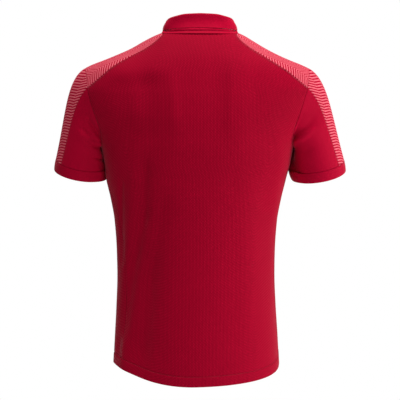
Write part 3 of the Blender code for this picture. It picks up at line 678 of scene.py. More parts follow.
def pressed(rows, sign):
    """Rows of points round an arm, each drawn in beside the torso until it all but touches it."""
    y, z = rows[..., 1], rows[..., 2]
    depth = np.where(y > 0, FORM["back"](z), FORM["front"](z))
    inside = np.maximum(1 - np.abs(y / depth) ** FORM["square"](z), 0.0)
    side = FORM["half_width"](z) * inside ** (1 / FORM["square"](z))
    gap = sign * (rows[..., 0] - FORM["centre_x"](z)) - side
    near = 1 - ease((gap - SLEEVE_PULL_REACH) / SLEEVE_PULL_REACH_FADE)
    level = 1 - ease((np.abs(y) - SLEEVE_PULL_DEPTH) / SLEEVE_PULL_DEPTH_FADE)
    beside = near * level * ease((SLEEVE_PULL_TOP - z) / SLEEVE_PULL_TOP_FADE)
    pull = np.clip(gap - SLEEVE_GAP, 0.0, SLEEVE_PULL) * beside
    return rows - stack(sign * pull, 0.0, 0.0)


def sleeve_fold_height(around, along):
    """How far the armpit creases move the sleeve's cloth out."""
    around, along = np.broadcast_arrays(np.abs(around), along)
    total = np.zeros(around.shape)
    for fold in SLEEVE_FOLDS:
        start, end = (fold.around0, fold.along0), (fold.around1, fold.along1)
        total += fold.height * fold_profile(around, along, start, end, fold.width, SLEEVE_FOLD_END)
    return total * ease(along / SLEEVE_TOP_FADE) * ease((1 - along) / SLEEVE_CUFF_FADE)


def sleeve_ring(sign):
    """The whole sleeve from armhole to cuff: rows of points down the arm, columns as in armhole()."""
    angle, z, turn, around = armhole(sign)
    tops = torso(angle, z)
    middle = tops[::ARMHOLE_STEPS].mean(axis=0)
    cuff_middle = (cuff_point(0, CUFF_HEIGHT, sign) + cuff_point(180, CUFF_HEIGHT, sign)) / 2
    arm = unit(cuff_middle - middle)
    tangent = np.roll(tops, -ARMHOLE_STEPS, axis=0) - np.roll(tops, ARMHOLE_STEPS, axis=0)
    share = np.abs(around)[:, None]
    follow = HANDLE["follow"](share)
    leave = sign * unit(np.cross(tangent, torso_normal(angle, z)))
    leave = unit((1 - follow) * leave + follow * arm)
    end = cuff_point(turn, CUFF_HEIGHT + SEAM_GAP / 2, sign)
    chord = np.linalg.norm(end - tops, axis=1, keepdims=True)
    arrive = unit((1 - share) * arm + share * unit(end - tops))
    out_handle = tops + leave * chord * HANDLE["leave"](share)
    in_handle = end - arrive * chord * HANDLE["arrive"](share)
    rows = []
    for t in np.linspace(0, 1, SLEEVE_ROWS + 1):
        point = (1 - t) ** 3 * tops + 3 * t * (1 - t) ** 2 * out_handle
        point = point + 3 * t * t * (1 - t) * in_handle + t**3 * end
        spoke = point - (middle + (cuff_middle - middle) * t)
        out = unit(spoke - arm * (spoke @ arm)[:, None])
        creases = fold_height(point, SLEEVE_CREASES, CUFF_CENTRE[1]) * ease(t / SLEEVE_CREASE_FADE)
        height = sleeve_fold_height(around, t) + creases
        rows.append(point + out * height[:, None])
    return np.array(rows)


def neck_ring():
    """The neckline from the front's middle round the wearer's right, the back and the left to the front."""
    fine = both_ways(NECK_COLUMNS, SIDE_STEPS)
    front = torso(*panel_place(0, fine, "front"))
    back = torso(*panel_place(0, fine, "back"))
    rows = both_ways(YOKE_ROWS, COLLAR_YOKE_STEPS)[1:-1]
    right, left = (torso(*yoke_place(rows, 0, sign)) for sign in (-1, 1))
    half = len(fine) // 2
    ends = [front[half] + np.array([side * COLLAR_END_GAP, 0, 0]) for side in (-1, 1)]
    start, finish = front[: half - 1][::-1], front[half + 2 :][::-1]
    return np.concatenate([ends[:1], start, right, back, left[::-1], finish, ends[1:]])


def grid_normals(grid):
    """Unit normals of a grid, columns crossed with rows."""
    down, along = np.gradient(grid, axis=0), np.gradient(grid, axis=1)
    return unit(np.cross(along, down))


def collar_grid():
    """The folded collar: rows up the stand, over the fold and down the fall; columns as neck_ring()."""
    ring = neck_ring()
    way = ways(ring, 0)
    shares = way / way[-1] * 2 - 1
    away = np.abs(shares)
    places = np.arange(len(ring))
    ahead = np.minimum(places + COLLAR_WINDOW, len(ring) - 1)
    tangent = ring[ahead] - ring[np.maximum(places - COLLAR_WINDOW, 0)]
    out = unit(stack(-tangent[:, 1], tangent[:, 0], 0.0))
    square = unit(np.cross(tangent, out))
    up = unit(square * ease((1 - away) / UPRIGHT_END)[:, None] + np.array([0.0, 0.0, 1.0]))
    foot = ring - out * COLLAR_INSET + up * SEAM_GAP
    rise, lean = RISE["rise"](away)[:, None], RISE["lean"](away)[:, None]
    top = foot - out * lean + up * (rise - COLLAR_ROLL)
    edge_z, bulge = EDGE["z"](away), EDGE["bulge"](away)[:, None]
    edge = stack(np.sign(shares) * EDGE["x"](away) + FORM["centre_x"](edge_z), EDGE["y"](away), edge_z)
    centre = top + out * COLLAR_ROLL
    fall_top = centre + out * COLLAR_ROLL
    rows = []
    shows = (edge_z - foot[:, 2])[:, None]
    for t in STAND_STOPS:
        strip = 1 - ease((t * rise - shows + FOOT_CLEAR) / FOOT_FADE)
        flare = FOOT_OUT * strip * ease(shows / FOOT_CLEAR) - FOOT_DIP * bell(t, FOOT_DIP_WIDTH)
        rows.append(foot + (top - foot) * t + out * flare)
    for step in range(1, ROLL_ROWS):
        turn = math.pi * step / ROLL_ROWS
        rows.append(centre + COLLAR_ROLL * (up * math.sin(turn) - out * math.cos(turn)))
    for t in np.linspace(0, 1, FALL_ROWS + 1):
        rows.append(fall_top + (edge - fall_top) * t + out * bulge * math.sin(math.pi * t))
    return np.array(rows)


def trimmed(grid, sides):
    """The grid with its edges on the named sides drawn in along the cloth by half a seam gap."""
    grid = grid.copy()
    for side, edge, inner in (
        ("t", np.s_[0], np.s_[1]),
        ("b", np.s_[-1], np.s_[-2]),
        ("l", np.s_[:, 0], np.s_[:, 1]),
        ("r", np.s_[:, -1], np.s_[:, -2]),
    ):
        if side in sides:
            grid[edge] = grid[edge] + unit(grid[inner] - grid[edge]) * SEAM_GAP / 2
    return grid


EDGES = (("t", 0, False), ("b", 0, True), ("l", 1, False), ("r", 1, True))


def from_edge(grid, axis, at_end):
    """The grid turned so that its first line is the one at an edge."""
    lines = np.moveaxis(grid, axis, 0)
    return lines[::-1] if at_end else lines


def turned_back(lines, axis, at_end):
    """Undoes from_edge."""
    return np.moveaxis(lines[::-1] if at_end else lines, 0, axis)


def with_edge_lines(grid, sides):
    """The grid with extra rows or columns close beside its seams, where the cloth rolls in."""
    for side, axis, at_end in EDGES:
        if side in sides:
            lines = from_edge(grid, axis, at_end)
            extra = [lines[0] + (lines[1] - lines[0]) * stop for stop in EDGE_STOPS]
            grid = turned_back(np.concatenate([lines[:1], extra, lines[1:]]), axis, at_end)
    return grid


def with_laps(grids, sides, depth):
    """Adds the seam allowance that runs on under the next piece, at the named sides of a piece's grids.

    The grids are its points, its outward directions, and any others, which just repeat their edge.
    """
    for side, axis, at_end in EDGES:
        if side not in sides:
            continue
        points, outward, *others = (from_edge(grid, axis, at_end) for grid in grids)
        under = points[0] - outward[0] * depth
        onward = unit(points[0] - points[LAP_AIM])
        lapped = [np.concatenate([[under + onward * LAP, under], points])]
        lapped += [np.concatenate([lines[:1], lines[:1], lines]) for lines in (outward, *others)]
        grids = [turned_back(lines, axis, at_end) for lines in lapped]
    return grids


def seam_distance(grid, sides):
    """Distance of each point from the nearest seam on the named sides."""
    nearest = np.full(grid.shape[:2], 1e6)
    for side, axis, at_end in EDGES:
        if side in sides:
            turned = np.flip(grid, axis) if at_end else grid
            distance = ways(turned, axis)
            nearest = np.minimum(nearest, np.flip(distance, axis) if at_end else distance)
    return nearest


def bell(distance, width):
    """1 at no distance, falling smoothly to nothing over about two widths."""
    return np.exp(-((distance / width) ** 2))


def from_middle(across):
    """Distances along the rows, counted from the middle column."""
    middle = across.shape[1] // 2
    return across - across[:, middle : middle + 1]


def body_cut(grid):
    """Flat coordinates of a body panel: along each row as seen from above, and down each column."""
    return from_middle(ways(grid[..., :2], 1)), ways(grid, 0) - grid[:1, :, 2]


def band_cut(grid):
    """Flat coordinates of a band: along its rows and along its columns."""
    return from_middle(ways(grid, 1)), ways(grid, 0)


def panel_faces(hole, closed, flip):
    """The faces between a grid's points, which a closed tube's last column joins to its first."""
    rows, count = hole.shape
    faces = []
    for i in range(rows - 1):
        for j in range(count if closed else count - 1):
            if hole[i, j]:
                continue
            after = (j + 1) % count
            face = (i * count + j, i * count + after, (i + 1) * count + after, (i + 1) * count + j)
            faces.append(face[::-1] if flip else face)
    return faces


def outward_directions(grid, closed, flip):
    """Unit directions out of the cloth at a grid's points."""
    way = -1 if flip else 1
    if closed:
        wrapped = np.concatenate([grid[:, -1:], grid, grid[:, :1]], axis=1)
        return grid_normals(wrapped)[:, 1:-1] * way
    return grid_normals(grid) * way


def keep_flat_place(mesh, across, down, cut, closed):
    """Keeps the cloth's flat coordinates in the mesh as a UV map."""
    flat = np.stack([across, down], axis=-1).reshape(-1, 2) * MM
    corners = np.zeros(len(mesh.loops), int)
    mesh.loops.foreach_get("vertex_index", corners)
    uv_map = mesh.uv_layers.new(name=UV_NAME)
    uv_values = flat[corners]
    if closed:
        uv_values = unwrapped(uv_values, cut)
    uv_map.data.foreach_set("uv", uv_values.astype(np.float32).ravel())


def give_wall(piece, wall):
    """Thickens a shell inwards from its outer face."""
    solidify = piece.modifiers.new("wall", "SOLIDIFY")
    solidify.thickness = wall * MM
    solidify.offset = -1.0
    solidify.use_even_offset = False
    apply_modifiers(piece)


def add_object(name, data):
    """A new object in the scene, for a mesh, light or camera."""
    made = bpy.data.objects.new(name, data)
    bpy.context.scene.collection.objects.link(made)
    return made


def make_cloth(node, grid, cut, look, slot, flip=False, closed=False, **form):
    """The cloth that stands for a node: its outer face from a grid, seams rolled in, and its wall."""
    name = f"{node}_cloth"
    outward = outward_directions(grid, closed, flip)
    # Nearness to a seam, which rolls the cloth in and also marks where shade is painted
    seam = bell(seam_distance(grid, form.get("seams", "")), SEAM_ROLL_WIDTH)
    lift = -form.get("roll", SEAM_ROLL) * seam
    if form.get("hem"):
        hem = np.flip(ways(np.flip(grid, 0), 0), 0) - form["hem"]
        groove = bell(hem, HEM_GROOVE_WIDTH)
        lift = lift + HEM_STEP * ease(-hem / HEM_GROOVE_WIDTH) - HEM_GROOVE * groove
        # The hem's groove joins the mask of painted shade
        seam = np.maximum(seam, groove * HEM_GROOVE_PAINTED_SHADE)
    hole = form.get("hole", np.zeros(seam.shape, bool))
    grids = [grid + outward * lift[..., None], outward, cut[0], cut[1], seam, hole]
    lapped = with_laps(grids, form.get("laps", ""), form.get("lap_depth", LAP_DEPTH))
    points, _, across, down, seam, hole = lapped
    mesh = bpy.data.meshes.new(name)
    mesh.from_pydata((points.reshape(-1, 3) * MM).tolist(), [], panel_faces(hole, closed, flip))
    keep_flat_place(mesh, across, down, cut, closed)
    # Kept for the finish's painted shade in the seams and the hem's groove
    mask = mesh.attributes.new(SEAM_NAME, "FLOAT", "POINT")
    mask.data.foreach_set("value", seam.astype(np.float32).ravel())
    made = add_object(name, mesh)
    drop_loose_points(mesh)
    give_wall(made, form.get("wall", CLOTH))
    mesh.shade_smooth()
    mesh.set_sharp_from_angle(angle=math.radians(SHARP_ANGLE))
    mesh.materials.append(look)
    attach(made, "root")
    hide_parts(node)
    return made


def unwrapped(uv_values, cut):
    """Keeps the flat coordinates of a closed tube's last column of faces from jumping back to its start."""
    girth = float(cut[0].max() - cut[0].min()) * MM
    quads = uv_values.reshape(-1, 4, 2)
    wide = np.ptp(quads[:, :, 0], axis=1) > girth / 2
    low = quads[wide, :, 0] < quads[wide, :, 0].mean(axis=1, keepdims=True)
    quads[wide, :, 0] += low * girth
    return quads.reshape(-1, 2)


def drop_loose_points(mesh):
    """Removes the points that no face uses, such as those inside the front opening."""
    shape = bmesh.new()
    shape.from_mesh(mesh)
    bmesh.ops.delete(shape, geom=[v for v in shape.verts if not v.link_faces], context="VERTS")
    shape.to_mesh(mesh)
    shape.free()


def select_only(piece):
    """Makes a piece the active one, and the only one selected."""
    bpy.ops.object.select_all(action="DESELECT")
    piece.select_set(True)
    bpy.context.view_layer.objects.active = piece


def apply_modifiers(piece):
    """Applies all of a piece's modifiers, in order."""
    select_only(piece)
    for modifier in list(piece.modifiers):
        bpy.ops.object.modifier_apply(modifier=modifier.name)


def panel_rows():
    """Fine rows down a body panel, closer together at the hem's stitching."""
    even = np.arange(LAST_ROW * ROW_STEPS + 1) / ROW_STEPS
    near = LAST_ROW - 1 + np.array(HEM_STOPS)
    return np.unique(np.round(np.concatenate([even, near]), 6))


def make_body():
    """The back and the front, from the yoke seams and neckline to the hem."""
    for face in ("back", "front"):
        i = panel_rows()[:, None]
        j = both_ways(LAST_COLUMN, SIDE_STEPS)[None]
        grid = trimmed(torso(*panel_place(i, j, face)), "tlr")
        grid = with_edge_lines(grid, "tlr")
        hole = (face == "front") & (i < ARMHOLE_ROWS) & (j >= -1) & (j < 1)
        hole = with_edge_lines(hole[..., None].astype(float), "tlr")[..., 0] == 1
        form = {"flip": face == "front", "seams": "tlr", "hem": HEM_DEPTH, "hole": hole, "laps": "tlr"}
        form["lap_depth"] = LAP_DEPTH if face == "back" else DEEP_LAP_DEPTH
        make_cloth(face, grid, body_cut(grid), PIQUE, "pique", **form)


def make_arm(side):
    """The yoke, sleeve strip, sleeve and cuff of one arm."""
    sign = 1 if side == "left" else -1
    left = side == "left"
    q = both_ways(YOKE_ROWS, ARMHOLE_STEPS)[:, None]
    s = (np.arange(SEAM_COLUMNS * SIDE_STEPS + 1) / SIDE_STEPS)[None]
    yoke = with_edge_lines(trimmed(torso(*yoke_place(q, s, sign)), "tblr"), "tblr")
    across, along = ways(yoke, 0), ways(yoke, 1)
    across = across - across[len(yoke) // 2]
    yoke_length = float(along[len(yoke) // 2, -1])
    cut = (across, along - yoke_length)
    make_cloth(f"yoke_{side}", yoke, cut, YOKE_PRINT, "pattern", not left, seams="tblr", laps="lr")
    ring = pressed(sleeve_ring(sign), sign)
    below = {"lap_depth": DEEP_LAP_DEPTH, "seams": "tblr"}
    width = 2 * YOKE_ROWS * ARMHOLE_STEPS
    strip = with_edge_lines(trimmed(ring[:, : width + 1], "tblr"), "tblr")
    name = f"sleeve_strip_{side}"
    level = (band_cut(strip)[0], -strip[..., 2])  # the print's lines lie level on the hanging sleeve
    make_cloth(name, strip, level, STRIP_PRINT, "pattern", left, laps="blr", **below)
    under = np.concatenate([ring[:, width:], ring[:, :1]], axis=1)
    under = with_edge_lines(trimmed(under, "tblr"), "tblr")
    make_cloth(f"sleeve_{side}", under, band_cut(under), PLAIN, "plain", left, laps="tb", **below)
    turns = armhole(sign)[2]
    above = np.array(CUFF_STOPS)[:, None] * CUFF_HEIGHT
    swell = CUFF_BULGE * np.sin(np.pi * np.clip(above / CUFF_HEIGHT, 0, 1)) ** 0.5
    cuff = pressed(cuff_point(turns[None], above, sign, swell), sign)
    form = {"flip": left, "closed": True, "seams": "t", "wall": CUFF_CLOTH, "roll": CUFF_ROLL}
    make_cloth(f"cuff_{side}", cuff, band_cut(cuff), PLAIN, "plain", **form)


def make_collar():
    """The knitted collar, folded over along its roll."""
    grid = with_edge_lines(collar_grid(), "b")
    form = {"wall": COLLAR_CLOTH, "laps": "t", "lap_depth": DEEP_LAP_DEPTH}
    make_cloth("collar", grid, band_cut(grid), COLLAR, "collar", **form)


def placket_band(node, depth):
    """A band along the front opening, on the front's own form moved out by depth."""
    i = np.linspace(0, PLACKET_END, PLACKET_ROWS)[:, None]
    j = np.linspace(-PLACKET_REACH, PLACKET_REACH, PLACKET_COLUMNS)[None]
    base = torso(*panel_place(i, j, "front"))
    band = trimmed(base - grid_normals(base) * depth, "tblr")
    band = with_edge_lines(band, "tblr")
    form = {"flip": True, "seams": "tblr", "wall": PLACKET_CLOTH, "roll": PLACKET_ROLL}
    make_cloth(node, band, band_cut(band), PIQUE, "pique", **form)
    return band


def stitch_line(name, line, outward, pitch=STITCH_PITCH):
    """Stitches of sewing thread along a line of points on the cloth, each arched out of it."""
    way = ways(line, 0)
    middles = np.arange(pitch / 2, way[-1] - pitch / 2, pitch)
    centre = read_along(middles, way, line)
    ahead, behind = (read_along(middles + aim, way, line) for aim in (STITCH_AIM, -STITCH_AIM))
    along, out = unit(ahead - behind), unit(read_along(middles, way, outward))
    side = np.cross(along, out)
    points = []
    for share, thickness in THREAD_RINGS:
        ring_centre = centre + along * share * STITCH_LENGTH + out * THREAD_RADIUS * (1 - (2 * share) ** 2)
        for turn in np.radians(np.arange(0, 360, 360 / THREAD_SIDES)):
            spoke = out * math.cos(turn) + side * math.sin(turn)
            points.append(ring_centre + spoke * THREAD_RADIUS * thickness)
    points = np.stack(points, axis=1)
    per_stitch = points.shape[1]
    faces = []
    for stitch in range(len(middles)):
        first = stitch * per_stitch
        for ring in range(len(THREAD_RINGS) - 1):
            lower = first + ring * THREAD_SIDES
            for k in range(THREAD_SIDES):
                a, b = lower + k, lower + (k + 1) % THREAD_SIDES
                faces.append((a, a + THREAD_SIDES, b + THREAD_SIDES, b))
        faces.append(tuple(first + k for k in range(THREAD_SIDES)))
        faces.append(tuple(first + per_stitch - 1 - k for k in range(THREAD_SIDES)))
    mesh = bpy.data.meshes.new(name)
    mesh.from_pydata((points.reshape(-1, 3) * MM).tolist(), [], faces)
    mesh.shade_smooth()
    mesh.materials.append(THREAD)
    made = add_object(name, mesh)
    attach(made, "root")


def sew_panel_line(name, face, i, j, depth=0.0):
    """Stitches through the places at rows i and columns j of the back or front, sunk by depth."""
    angle, z = panel_place(i, j, face)
    normal = torso_normal(angle, z)
    outward = normal * np.sign(np.sum(normal[..., :2] * torso(angle, z)[..., :2], axis=-1, keepdims=True))
    line = torso(angle, z) + outward * (THREAD_LIFT - depth)
    stitch_line(name, line, outward)


def sew():
    """The rows of stitching round the hem and beside the yoke seams."""
    across = np.linspace(-LAST_COLUMN + STITCH_START, LAST_COLUMN - STITCH_START, HEM_STITCH_PLACES)
    beside = np.linspace(NECK_COLUMNS + STITCH_START, LAST_COLUMN - STITCH_START, YOKE_STITCH_PLACES)
    for face in ("back", "front"):
        sew_panel_line(f"hem_stitches_{face}", face, LAST_ROW - 1.0, across, HEM_GROOVE)
        for side, sign in (("left", 1), ("right", -1)):
            sew_panel_line(f"yoke_stitches_{face}_{side}", face, YOKE_STITCH_ROW, sign * beside)


def sew_placket(band):
    """Stitching near the edges of the outer band and across its lower end."""
    outward = -grid_normals(band)
    lifted = band + outward * THREAD_LIFT
    rows, count = band.shape[:2]
    first, last = PLACKET_STITCH_INSET, count - 1 - PLACKET_STITCH_INSET
    bottom = rows - 1 - PLACKET_STITCH_INSET
    for name, line in (
        ("placket_stitches_left", np.s_[first : bottom + 1, last]),
        ("placket_stitches_right", np.s_[first : bottom + 1, first]),
        ("placket_stitches_end", np.s_[bottom, first : last + 1]),
        ("placket_stitches_upper", np.s_[bottom - PLACKET_STITCH_ROWS, first : last + 1]),
    ):
        stitch_line(name, lifted[line], outward[line])


def sunk_disc(name):
    """A disc that stands on the origin, with a flat rim round a sunk face."""
    bpy.ops.object.select_all(action="DESELECT")
    radius, thick = BUTTON_RADIUS * MM, BUTTON_THICK * MM
    middle = (0, 0, thick / 2)
    bpy.ops.mesh.primitive_cylinder_add(vertices=BUTTON_SIDES, radius=radius, depth=thick, location=middle)
    disc = bpy.context.active_object
    disc.name = name
    bpy.ops.object.mode_set(mode="EDIT")
    bpy.ops.mesh.select_all(action="DESELECT")
    shape = bmesh.from_edit_mesh(disc.data)
    for face in shape.faces:
        face.select = face.normal.z > 0.9
    bmesh.update_edit_mesh(disc.data)
    bpy.ops.mesh.inset(thickness=radius * BUTTON_RIM)
    bpy.ops.mesh.inset(thickness=radius * BUTTON_SLOPE)
    bpy.ops.transform.translate(value=(0, 0, -thick * BUTTON_SINK))
    bpy.ops.object.mode_set(mode="OBJECT")
    return disc


def bore_holes(button):
    """Cuts a button's four holes."""
    ring, thick = BUTTON_HOLE_RING * MM, BUTTON_THICK * MM
    bore = {"vertices": BUTTON_HOLE_SIDES, "radius": BUTTON_HOLE * MM, "depth": thick * 3}
    for hole in range(4):
        turn = math.radians(45 + 90 * hole)
        spot = (ring * math.cos(turn), ring * math.sin(turn), thick / 2)
        bpy.ops.mesh.primitive_cylinder_add(location=spot, **bore)
        cutter = bpy.context.active_object
        cut = button.modifiers.new("hole", "BOOLEAN")
        cut.object = cutter
        cut.operation = "DIFFERENCE"
        apply_modifiers(button)
        bpy.data.objects.remove(cutter, do_unlink=True)


def make_button(name, place, normal, node):
    """A button with a sunk face and four holes, sewn on with two bars of thread."""
    button = sunk_disc(name)
    bore_holes(button)
    rounding = button.modifiers.new("rounding", "BEVEL")
    rounding.width = BUTTON_ROUNDING * MM
    rounding.segments = 3
    rounding.limit_method = "ANGLE"
    apply_modifiers(button)
    turned = Vector(normal).to_track_quat("Z", "Y").to_matrix().to_4x4()
    button.data.transform(Matrix.Translation(Vector((place + normal * BUTTON_GAP) * MM)) @ turned)
    button.location = (0, 0, 0)
    select_only(button)
    bpy.ops.object.shade_smooth_by_angle(angle=math.radians(SHARP_ANGLE))
    button.data.materials.append(BUTTON)
    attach(button, "root")
    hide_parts(node)
    side, up = (np.array(turned.to_3x3() @ Vector(axis)) for axis in ((1, 0, 0), (0, 1, 0)))
    face = place + normal * (BUTTON_GAP + BUTTON_THICK * (1 - BUTTON_SINK))
    reach_out = BUTTON_HOLE_RING * math.sqrt(0.5)
    for which, way in (("left", 1), ("right", -1)):
        bar = [face + side * way * reach_out + up * along for along in np.linspace(-reach_out, reach_out, 5)]
        pitch = 2 * reach_out * BUTTON_THREAD_PITCH
        stitch_line(f"{name}_thread_{which}", np.array(bar), np.tile(normal, (len(bar), 1)), pitch)


def make_opening():
    """The front opening's two bands with their stitching, and the buttons on the outer one."""
    outer = placket_band("placket_over", PLACKET_OUT)
    placket_band("placket_under", PLACKET_IN)
    sew_placket(outer)
    middle = outer.shape[1] // 2
    line, ways_out = outer[::-1, middle], -grid_normals(outer)[::-1, middle]
    for number, height in enumerate(BUTTON_HEIGHTS, 1):
        place, way = (read_along(height, line[:, 2], values) for values in (line, ways_out))
        make_button(f"sewn_button_{number}", place, unit(way), f"button_{number}")


# Finishes


class Wiring:
    """Adds nodes to a tree and joins them: a value is a number, a colour or another node's output."""

    def __init__(self, tree):
        self.tree = tree

    def node(self, kind, inputs=(), **settings):
        """A new node with its settings, and its inputs by number or name."""
        made = self.tree.nodes.new(kind)
        for key, value in settings.items():
            setattr(made, key, value)
        for key, value in dict(inputs).items():
            self.join(value, made.inputs[key])
        return made

    def join(self, value, socket):
        """Links another node's output to a socket, or sets the socket to a plain value."""
        if isinstance(value, bpy.types.NodeSocket):
            self.tree.links.new(value, socket)
        else:
            socket.default_value = value

    def math(self, operation, *values):
        """The output of a Math node."""
        return self.node("ShaderNodeMath", dict(enumerate(values)), operation=operation).outputs[0]

    def mix(self, share, first, second):
        """A colour a share of the way from the first to the second."""
        made = self.node("ShaderNodeMix", data_type="RGBA")
        for key, value in (("Factor_Float", share), ("A_Color", first), ("B_Color", second)):
            self.join(value, next(s for s in made.inputs if s.identifier == key))
        return next(s for s in made.outputs if s.identifier == "Result_Color")

    def noise(self, place, scale, detail):
        """Soft noise from 0 to 1 over places."""
        spots = {"Vector": place, "Scale": scale, "Detail": detail}
        return self.node("ShaderNodeTexNoise", spots).outputs[0]

    def waves(self, value):
        """Smooth waves from 0 to 1, one for each whole step of the value."""
        turned = self.math("MULTIPLY", value, math.tau)
        return self.math("MULTIPLY_ADD", self.math("COSINE", turned), 0.5, 0.5)


def effect(name, inputs, output):
    """A node group to be filled, with a vector input, named number inputs and one number output."""
    tree = bpy.data.node_groups.new(name, "ShaderNodeTree")
    tree.interface.new_socket("Place", in_out="INPUT", socket_type="NodeSocketVector")
    for key in inputs:
        tree.interface.new_socket(key, in_out="INPUT", socket_type="NodeSocketFloat")
    tree.interface.new_socket(output, in_out="OUTPUT", socket_type="NodeSocketFloat")
    wires = Wiring(tree)
    return wires, wires.node("NodeGroupInput").outputs, wires.node("NodeGroupOutput").inputs[output]


def half_drop(wires, across):
    """Moves every other rib down by half a loop."""
    rib = wires.math("FLOOR", wires.math("ADD", across, 0.5))
    return wires.math("FRACT", wires.math("MULTIPLY", rib, 0.5))


def slant(wires, across):
    """Slants the loops from each rib's middle."""
    return wires.math("ABSOLUTE", wires.math("SUBTRACT", wires.math("FRACT", across), 0.5))


def knit_effect(name, drop, lowest):
    """Height of a knit: upright ribs of loops, moved down by drop() and as high as lowest between them."""
    wires, given, height = effect(name, ("Column", "Row"), "Height")
    place = wires.node("ShaderNodeSeparateXYZ", {0: given["Place"]}).outputs
    across = wires.math("DIVIDE", place[0], given["Column"])
    down = wires.math("ADD", wires.math("DIVIDE", place[1], given["Row"]), drop(wires, across))
    loops = wires.math("MULTIPLY_ADD", wires.waves(down), 1 - lowest, lowest)
    wires.join(wires.math("MULTIPLY", wires.waves(across), loops), height)
    return wires.tree


def herringbone_effect():
    """Mask of slanting printed lines that turn back at each block's edge."""
    wires, given, mask = effect("herringbone", ("Block", "Period", "Slant", "Share"), "Mask")
    place = wires.node("ShaderNodeSeparateXYZ", {0: given["Place"]}).outputs
    across = wires.math("DIVIDE", place[0], given["Block"])
    turned_back = wires.math("PINGPONG", across, 1.0)
    slanted = wires.math("MULTIPLY", wires.math("MULTIPLY", turned_back, given["Block"]), given["Slant"])
    line = wires.math("FRACT", wires.math("DIVIDE", wires.math("ADD", place[1], slanted), given["Period"]))
    edge = wires.math("MULTIPLY", wires.math("ABSOLUTE", wires.math("SUBTRACT", line, 0.5)), 2.0)
    soft = wires.node("ShaderNodeMapRange", {"Value": edge}, interpolation_type="SMOOTHSTEP")
    wires.join(wires.math("SUBTRACT", given["Share"], PRINT_SOFTNESS), soft.inputs["From Min"])
    wires.join(wires.math("ADD", given["Share"], PRINT_SOFTNESS), soft.inputs["From Max"])
    soft.inputs["To Min"].default_value, soft.inputs["To Max"].default_value = 1.0, 0.0
    wires.join(soft.outputs[0], mask)
    return wires.tree


def tone_effect():
    """Slow, soft variation of the dye over the shirt, from 0 to 1."""
    wires, given, tone = effect("dye_tone", ("Scale",), "Tone")
    wires.join(wires.noise(given["Place"], given["Scale"], 3.0), tone)
    return wires.tree


def new_finish(name):
    """A new material, with the wiring of its nodes and its shader."""
    made = bpy.data.materials.new(name)
    made.use_nodes = True
    return made, Wiring(made.node_tree), made.node_tree.nodes["Principled BSDF"]


def cloth_finish(name, finish, prints=None):
    """A knitted cloth's material: dye with soft variation, darkened by painted shade between the loops and in
    the seams.
    """
    made, wires, shader = new_finish(name)
    flat = wires.node("ShaderNodeUVMap", uv_map=UV_NAME).outputs[0]
    place = wires.node("ShaderNodeTexCoord").outputs["Object"]

    def use(effect_tree, where, **values):
        group = wires.node("ShaderNodeGroup", node_tree=effect_tree)
        wires.join(where, group.inputs["Place"])
        for key, value in values.items():
            wires.join(value, group.inputs[key])
        return group.outputs[0]

    knit = use(finish.knit, flat, Column=finish.column, Row=finish.row)
    tone = use(TONE, place, Scale=DYE_SCALE)
    colour = wires.mix(tone, finish.deep, finish.dye)
    if prints:
        lines = {"Block": prints.block, "Period": prints.period, "Slant": prints.slant, "Share": prints.share}
        mask = use(HERRINGBONE, flat, **lines)
        colour = wires.mix(mask, colour, prints.ink)
    # Painted shade in the gaps between the knit's loops
    between = wires.math("MULTIPLY", wires.math("SUBTRACT", 1.0, knit), finish.between)
    colour = wires.mix(between, colour, finish.shade)
    # Painted shade in the seams and the hem's groove
    seam = wires.node("ShaderNodeAttribute", attribute_name=SEAM_NAME).outputs["Fac"]
    colour = wires.mix(wires.math("MULTIPLY", seam, SEAM_PAINTED_SHADE), colour, finish.shade)
    wires.join(colour, shader.inputs["Base Color"])
    rough = wires.math("MULTIPLY_ADD", knit, LOOP_SHINE, finish.roughness)
    wires.join(rough, shader.inputs["Roughness"])
    relief = {"Height": knit, "Strength": finish.bump, "Distance": KNIT_DEPTH}
    bump = wires.node("ShaderNodeBump", relief)
    wires.join(bump.outputs[0], shader.inputs["Normal"])
    shader.inputs["Specular IOR Level"].default_value = finish.specular
    shader.inputs["Sheen Weight"].default_value = finish.sheen
    shader.inputs["Sheen Roughness"].default_value = SHEEN_ROUGHNESS
    shader.inputs["Sheen Tint"].default_value = SHEEN_TINT
    return made


def plain_finish(name, dye, roughness, coat=0.0):
    """Dyed resin or thread, with a little variation in its dye and shine."""
    made, wires, shader = new_finish(name)
    place = wires.node("ShaderNodeTexCoord").outputs["Object"]
    noise = wires.noise(place, SPECK_SCALE, 2.0)
    darker = tuple(channel * SPECK_SHADE for channel in dye[:3]) + (1.0,)
    wires.join(wires.mix(noise, darker, dye), shader.inputs["Base Color"])
    wires.join(wires.math("MULTIPLY_ADD", noise, SPECK_DULLING, roughness), shader.inputs["Roughness"])
    shader.inputs["Coat Weight"].default_value = coat
    return made


# The shade field is the colour of painted shade; between is how far the gaps between the knit's loops are
# painted towards it.
Finish = namedtuple("Finish", "dye deep shade knit column row between bump roughness specular sheen")
Print = namedtuple("Print", "ink block period slant share")

PIQUE_KNIT = knit_effect("pique_knit", half_drop, 0.35)
FINE_KNIT = knit_effect("fine_knit", slant, 0.5)
HERRINGBONE = herringbone_effect()
TONE = tone_effect()

